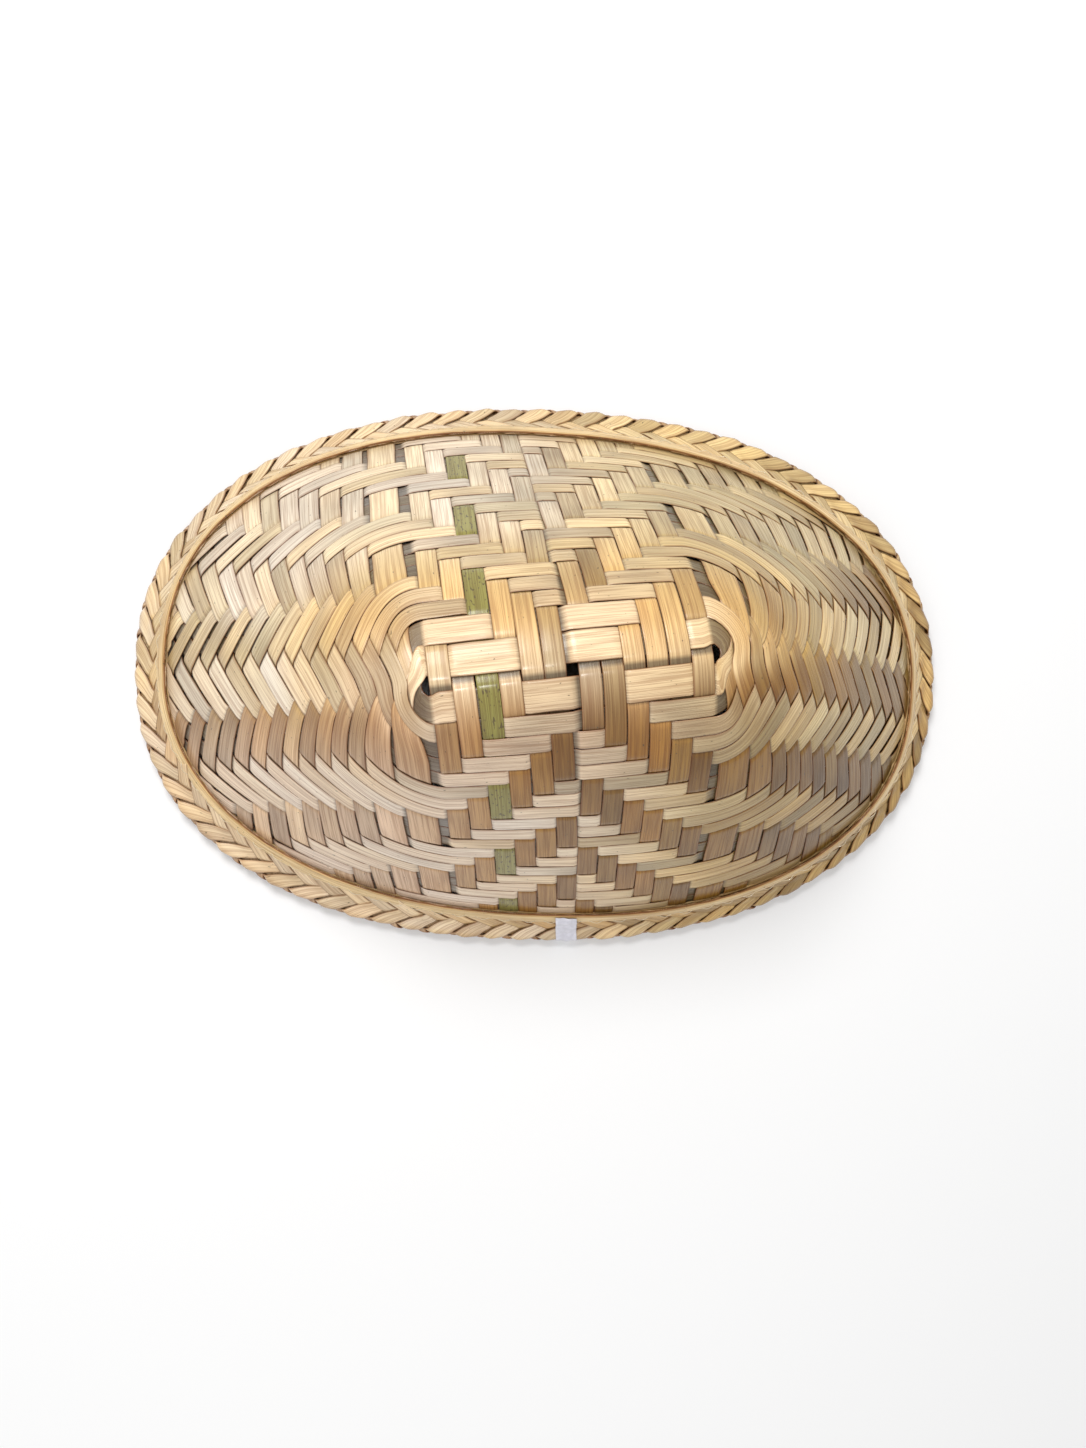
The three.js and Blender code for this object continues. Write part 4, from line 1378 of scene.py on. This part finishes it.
def make_floor(scene, material, half=3.0):
    """A flat square floor under the basket."""
    corners = [(-half, -half, 0), (half, -half, 0), (half, half, 0), (-half, half, 0)]
    mesh = bpy.data.meshes.new("floor")
    mesh.from_pydata(corners, [], [(0, 1, 2, 3)])
    mesh.materials.append(material)
    floor = bpy.data.objects.new("floor", mesh)
    scene.collection.objects.link(floor)


def make_sky(scene, strength):
    """White light from all round. The camera sees it as plain white."""
    world = bpy.data.worlds.new("Studio")
    scene.world = world
    world.use_nodes = True
    tree = world.node_tree
    tree.nodes.clear()
    shader = tree.nodes.new("ShaderNodeBackground")
    shader.inputs["Color"].default_value = (1.0, 1.0, 1.0, 1.0)
    seen = tree.nodes.new("ShaderNodeLightPath")
    choice = tree.nodes.new("ShaderNodeMapRange")
    choice.inputs["To Min"].default_value = strength
    choice.inputs["To Max"].default_value = 1.0
    output = tree.nodes.new("ShaderNodeOutputWorld")
    tree.links.new(seen.outputs["Is Camera Ray"], choice.inputs["Value"])
    tree.links.new(choice.outputs["Result"], shader.inputs["Strength"])
    tree.links.new(shader.outputs[0], output.inputs["Surface"])


def make_lamp(scene, name, place, size, power, aim=(0, 0, 0.03)):
    """A square lamp at place that shines at aim."""
    data = bpy.data.lights.new(name, "AREA")
    data.shape = "SQUARE"
    data.size = size
    data.energy = power
    made = bpy.data.objects.new(name, data)
    made.location = place
    back = np.array(place) - np.array(aim)
    yaw = math.atan2(back[0], -back[1])
    pitch = math.atan2(math.hypot(back[0], back[1]), back[2])
    made.rotation_euler = (pitch, 0.0, yaw)
    scene.collection.objects.link(made)


def make_camera(scene, studio):
    """The camera, which looks down on the basket."""
    data = bpy.data.cameras.new("camera")
    data.lens = studio.lens
    data.sensor_width = 36.0
    data.clip_start = 0.01
    camera = bpy.data.objects.new("camera", data)
    camera.rotation_mode = "ZXY"
    camera.rotation_euler = tuple(studio.camera_tilt)
    camera.location = tuple(studio.camera_place)
    scene.collection.objects.link(camera)
    scene.camera = camera


class BASKET_OT_studio(bpy.types.Operator):
    """Makes the floor, the lamps and the camera"""

    bl_idname = "basket.studio"
    bl_label = "Studio"

    def execute(self, context):
        scene = context.scene
        studio = scene.basket_studio
        make_floor(scene, floor_finish(scene.basket_colours))
        make_sky(scene, studio.sky)
        make_lamp(scene, "key", place=(-0.24, 0.62, 0.9), size=0.42, power=studio.key)
        make_lamp(scene, "top", place=(-0.02, 0.02, 1.1), size=0.08, power=studio.top)
        make_lamp(scene, "fill", place=(-0.30, -0.8, 0.55), size=0.6, power=studio.fill)
        make_camera(scene, studio)
        scene.view_settings.view_transform = "Standard"
        return {"FINISHED"}


class BASKET_PT_panel(bpy.types.Panel):
    """Lists the steps that make the basket"""

    bl_label = "Woven Basket"
    bl_idname = "BASKET_PT_panel"
    bl_space_type = "VIEW_3D"
    bl_region_type = "UI"
    bl_category = "Basket"

    def draw(self, context):
        """One button for each step."""
        for step in STEPS:
            self.layout.operator(step.bl_idname)


STEPS = (
    BASKET_OT_ridge,
    BASKET_OT_rows,
    BASKET_OT_braid,
    BASKET_OT_hoop,
    BASKET_OT_stitches,
    BASKET_OT_tie,
    BASKET_OT_studio,
)
GROUPS = {
    "basket_sizes": BasketSizes,
    "basket_rim": RimSizes,
    "basket_colours": BasketColours,
    "basket_studio": StudioSettings,
}


def register():
    """Registers the settings, the steps and the panel."""
    for group in GROUPS.values():
        bpy.utils.register_class(group)
    for step in (*STEPS, BASKET_PT_panel):
        bpy.utils.register_class(step)
    for name, group in GROUPS.items():
        setattr(bpy.types.Scene, name, bpy.props.PointerProperty(type=group))


def unregister():
    """Takes back what register did."""
    for name in GROUPS:
        delattr(bpy.types.Scene, name)
    for made in (*STEPS, BASKET_PT_panel, *GROUPS.values()):
        bpy.utils.unregister_class(made)


def main():
    register()
    bpy.ops.basket.ridge_splints()
    bpy.ops.basket.row_splints()
    bpy.ops.basket.rim_braid()
    bpy.ops.basket.rim_hoop()
    bpy.ops.basket.rim_stitching()
    bpy.ops.basket.rim_tie()
    bpy.ops.basket.studio()


if __name__ == "__main__":
    main()
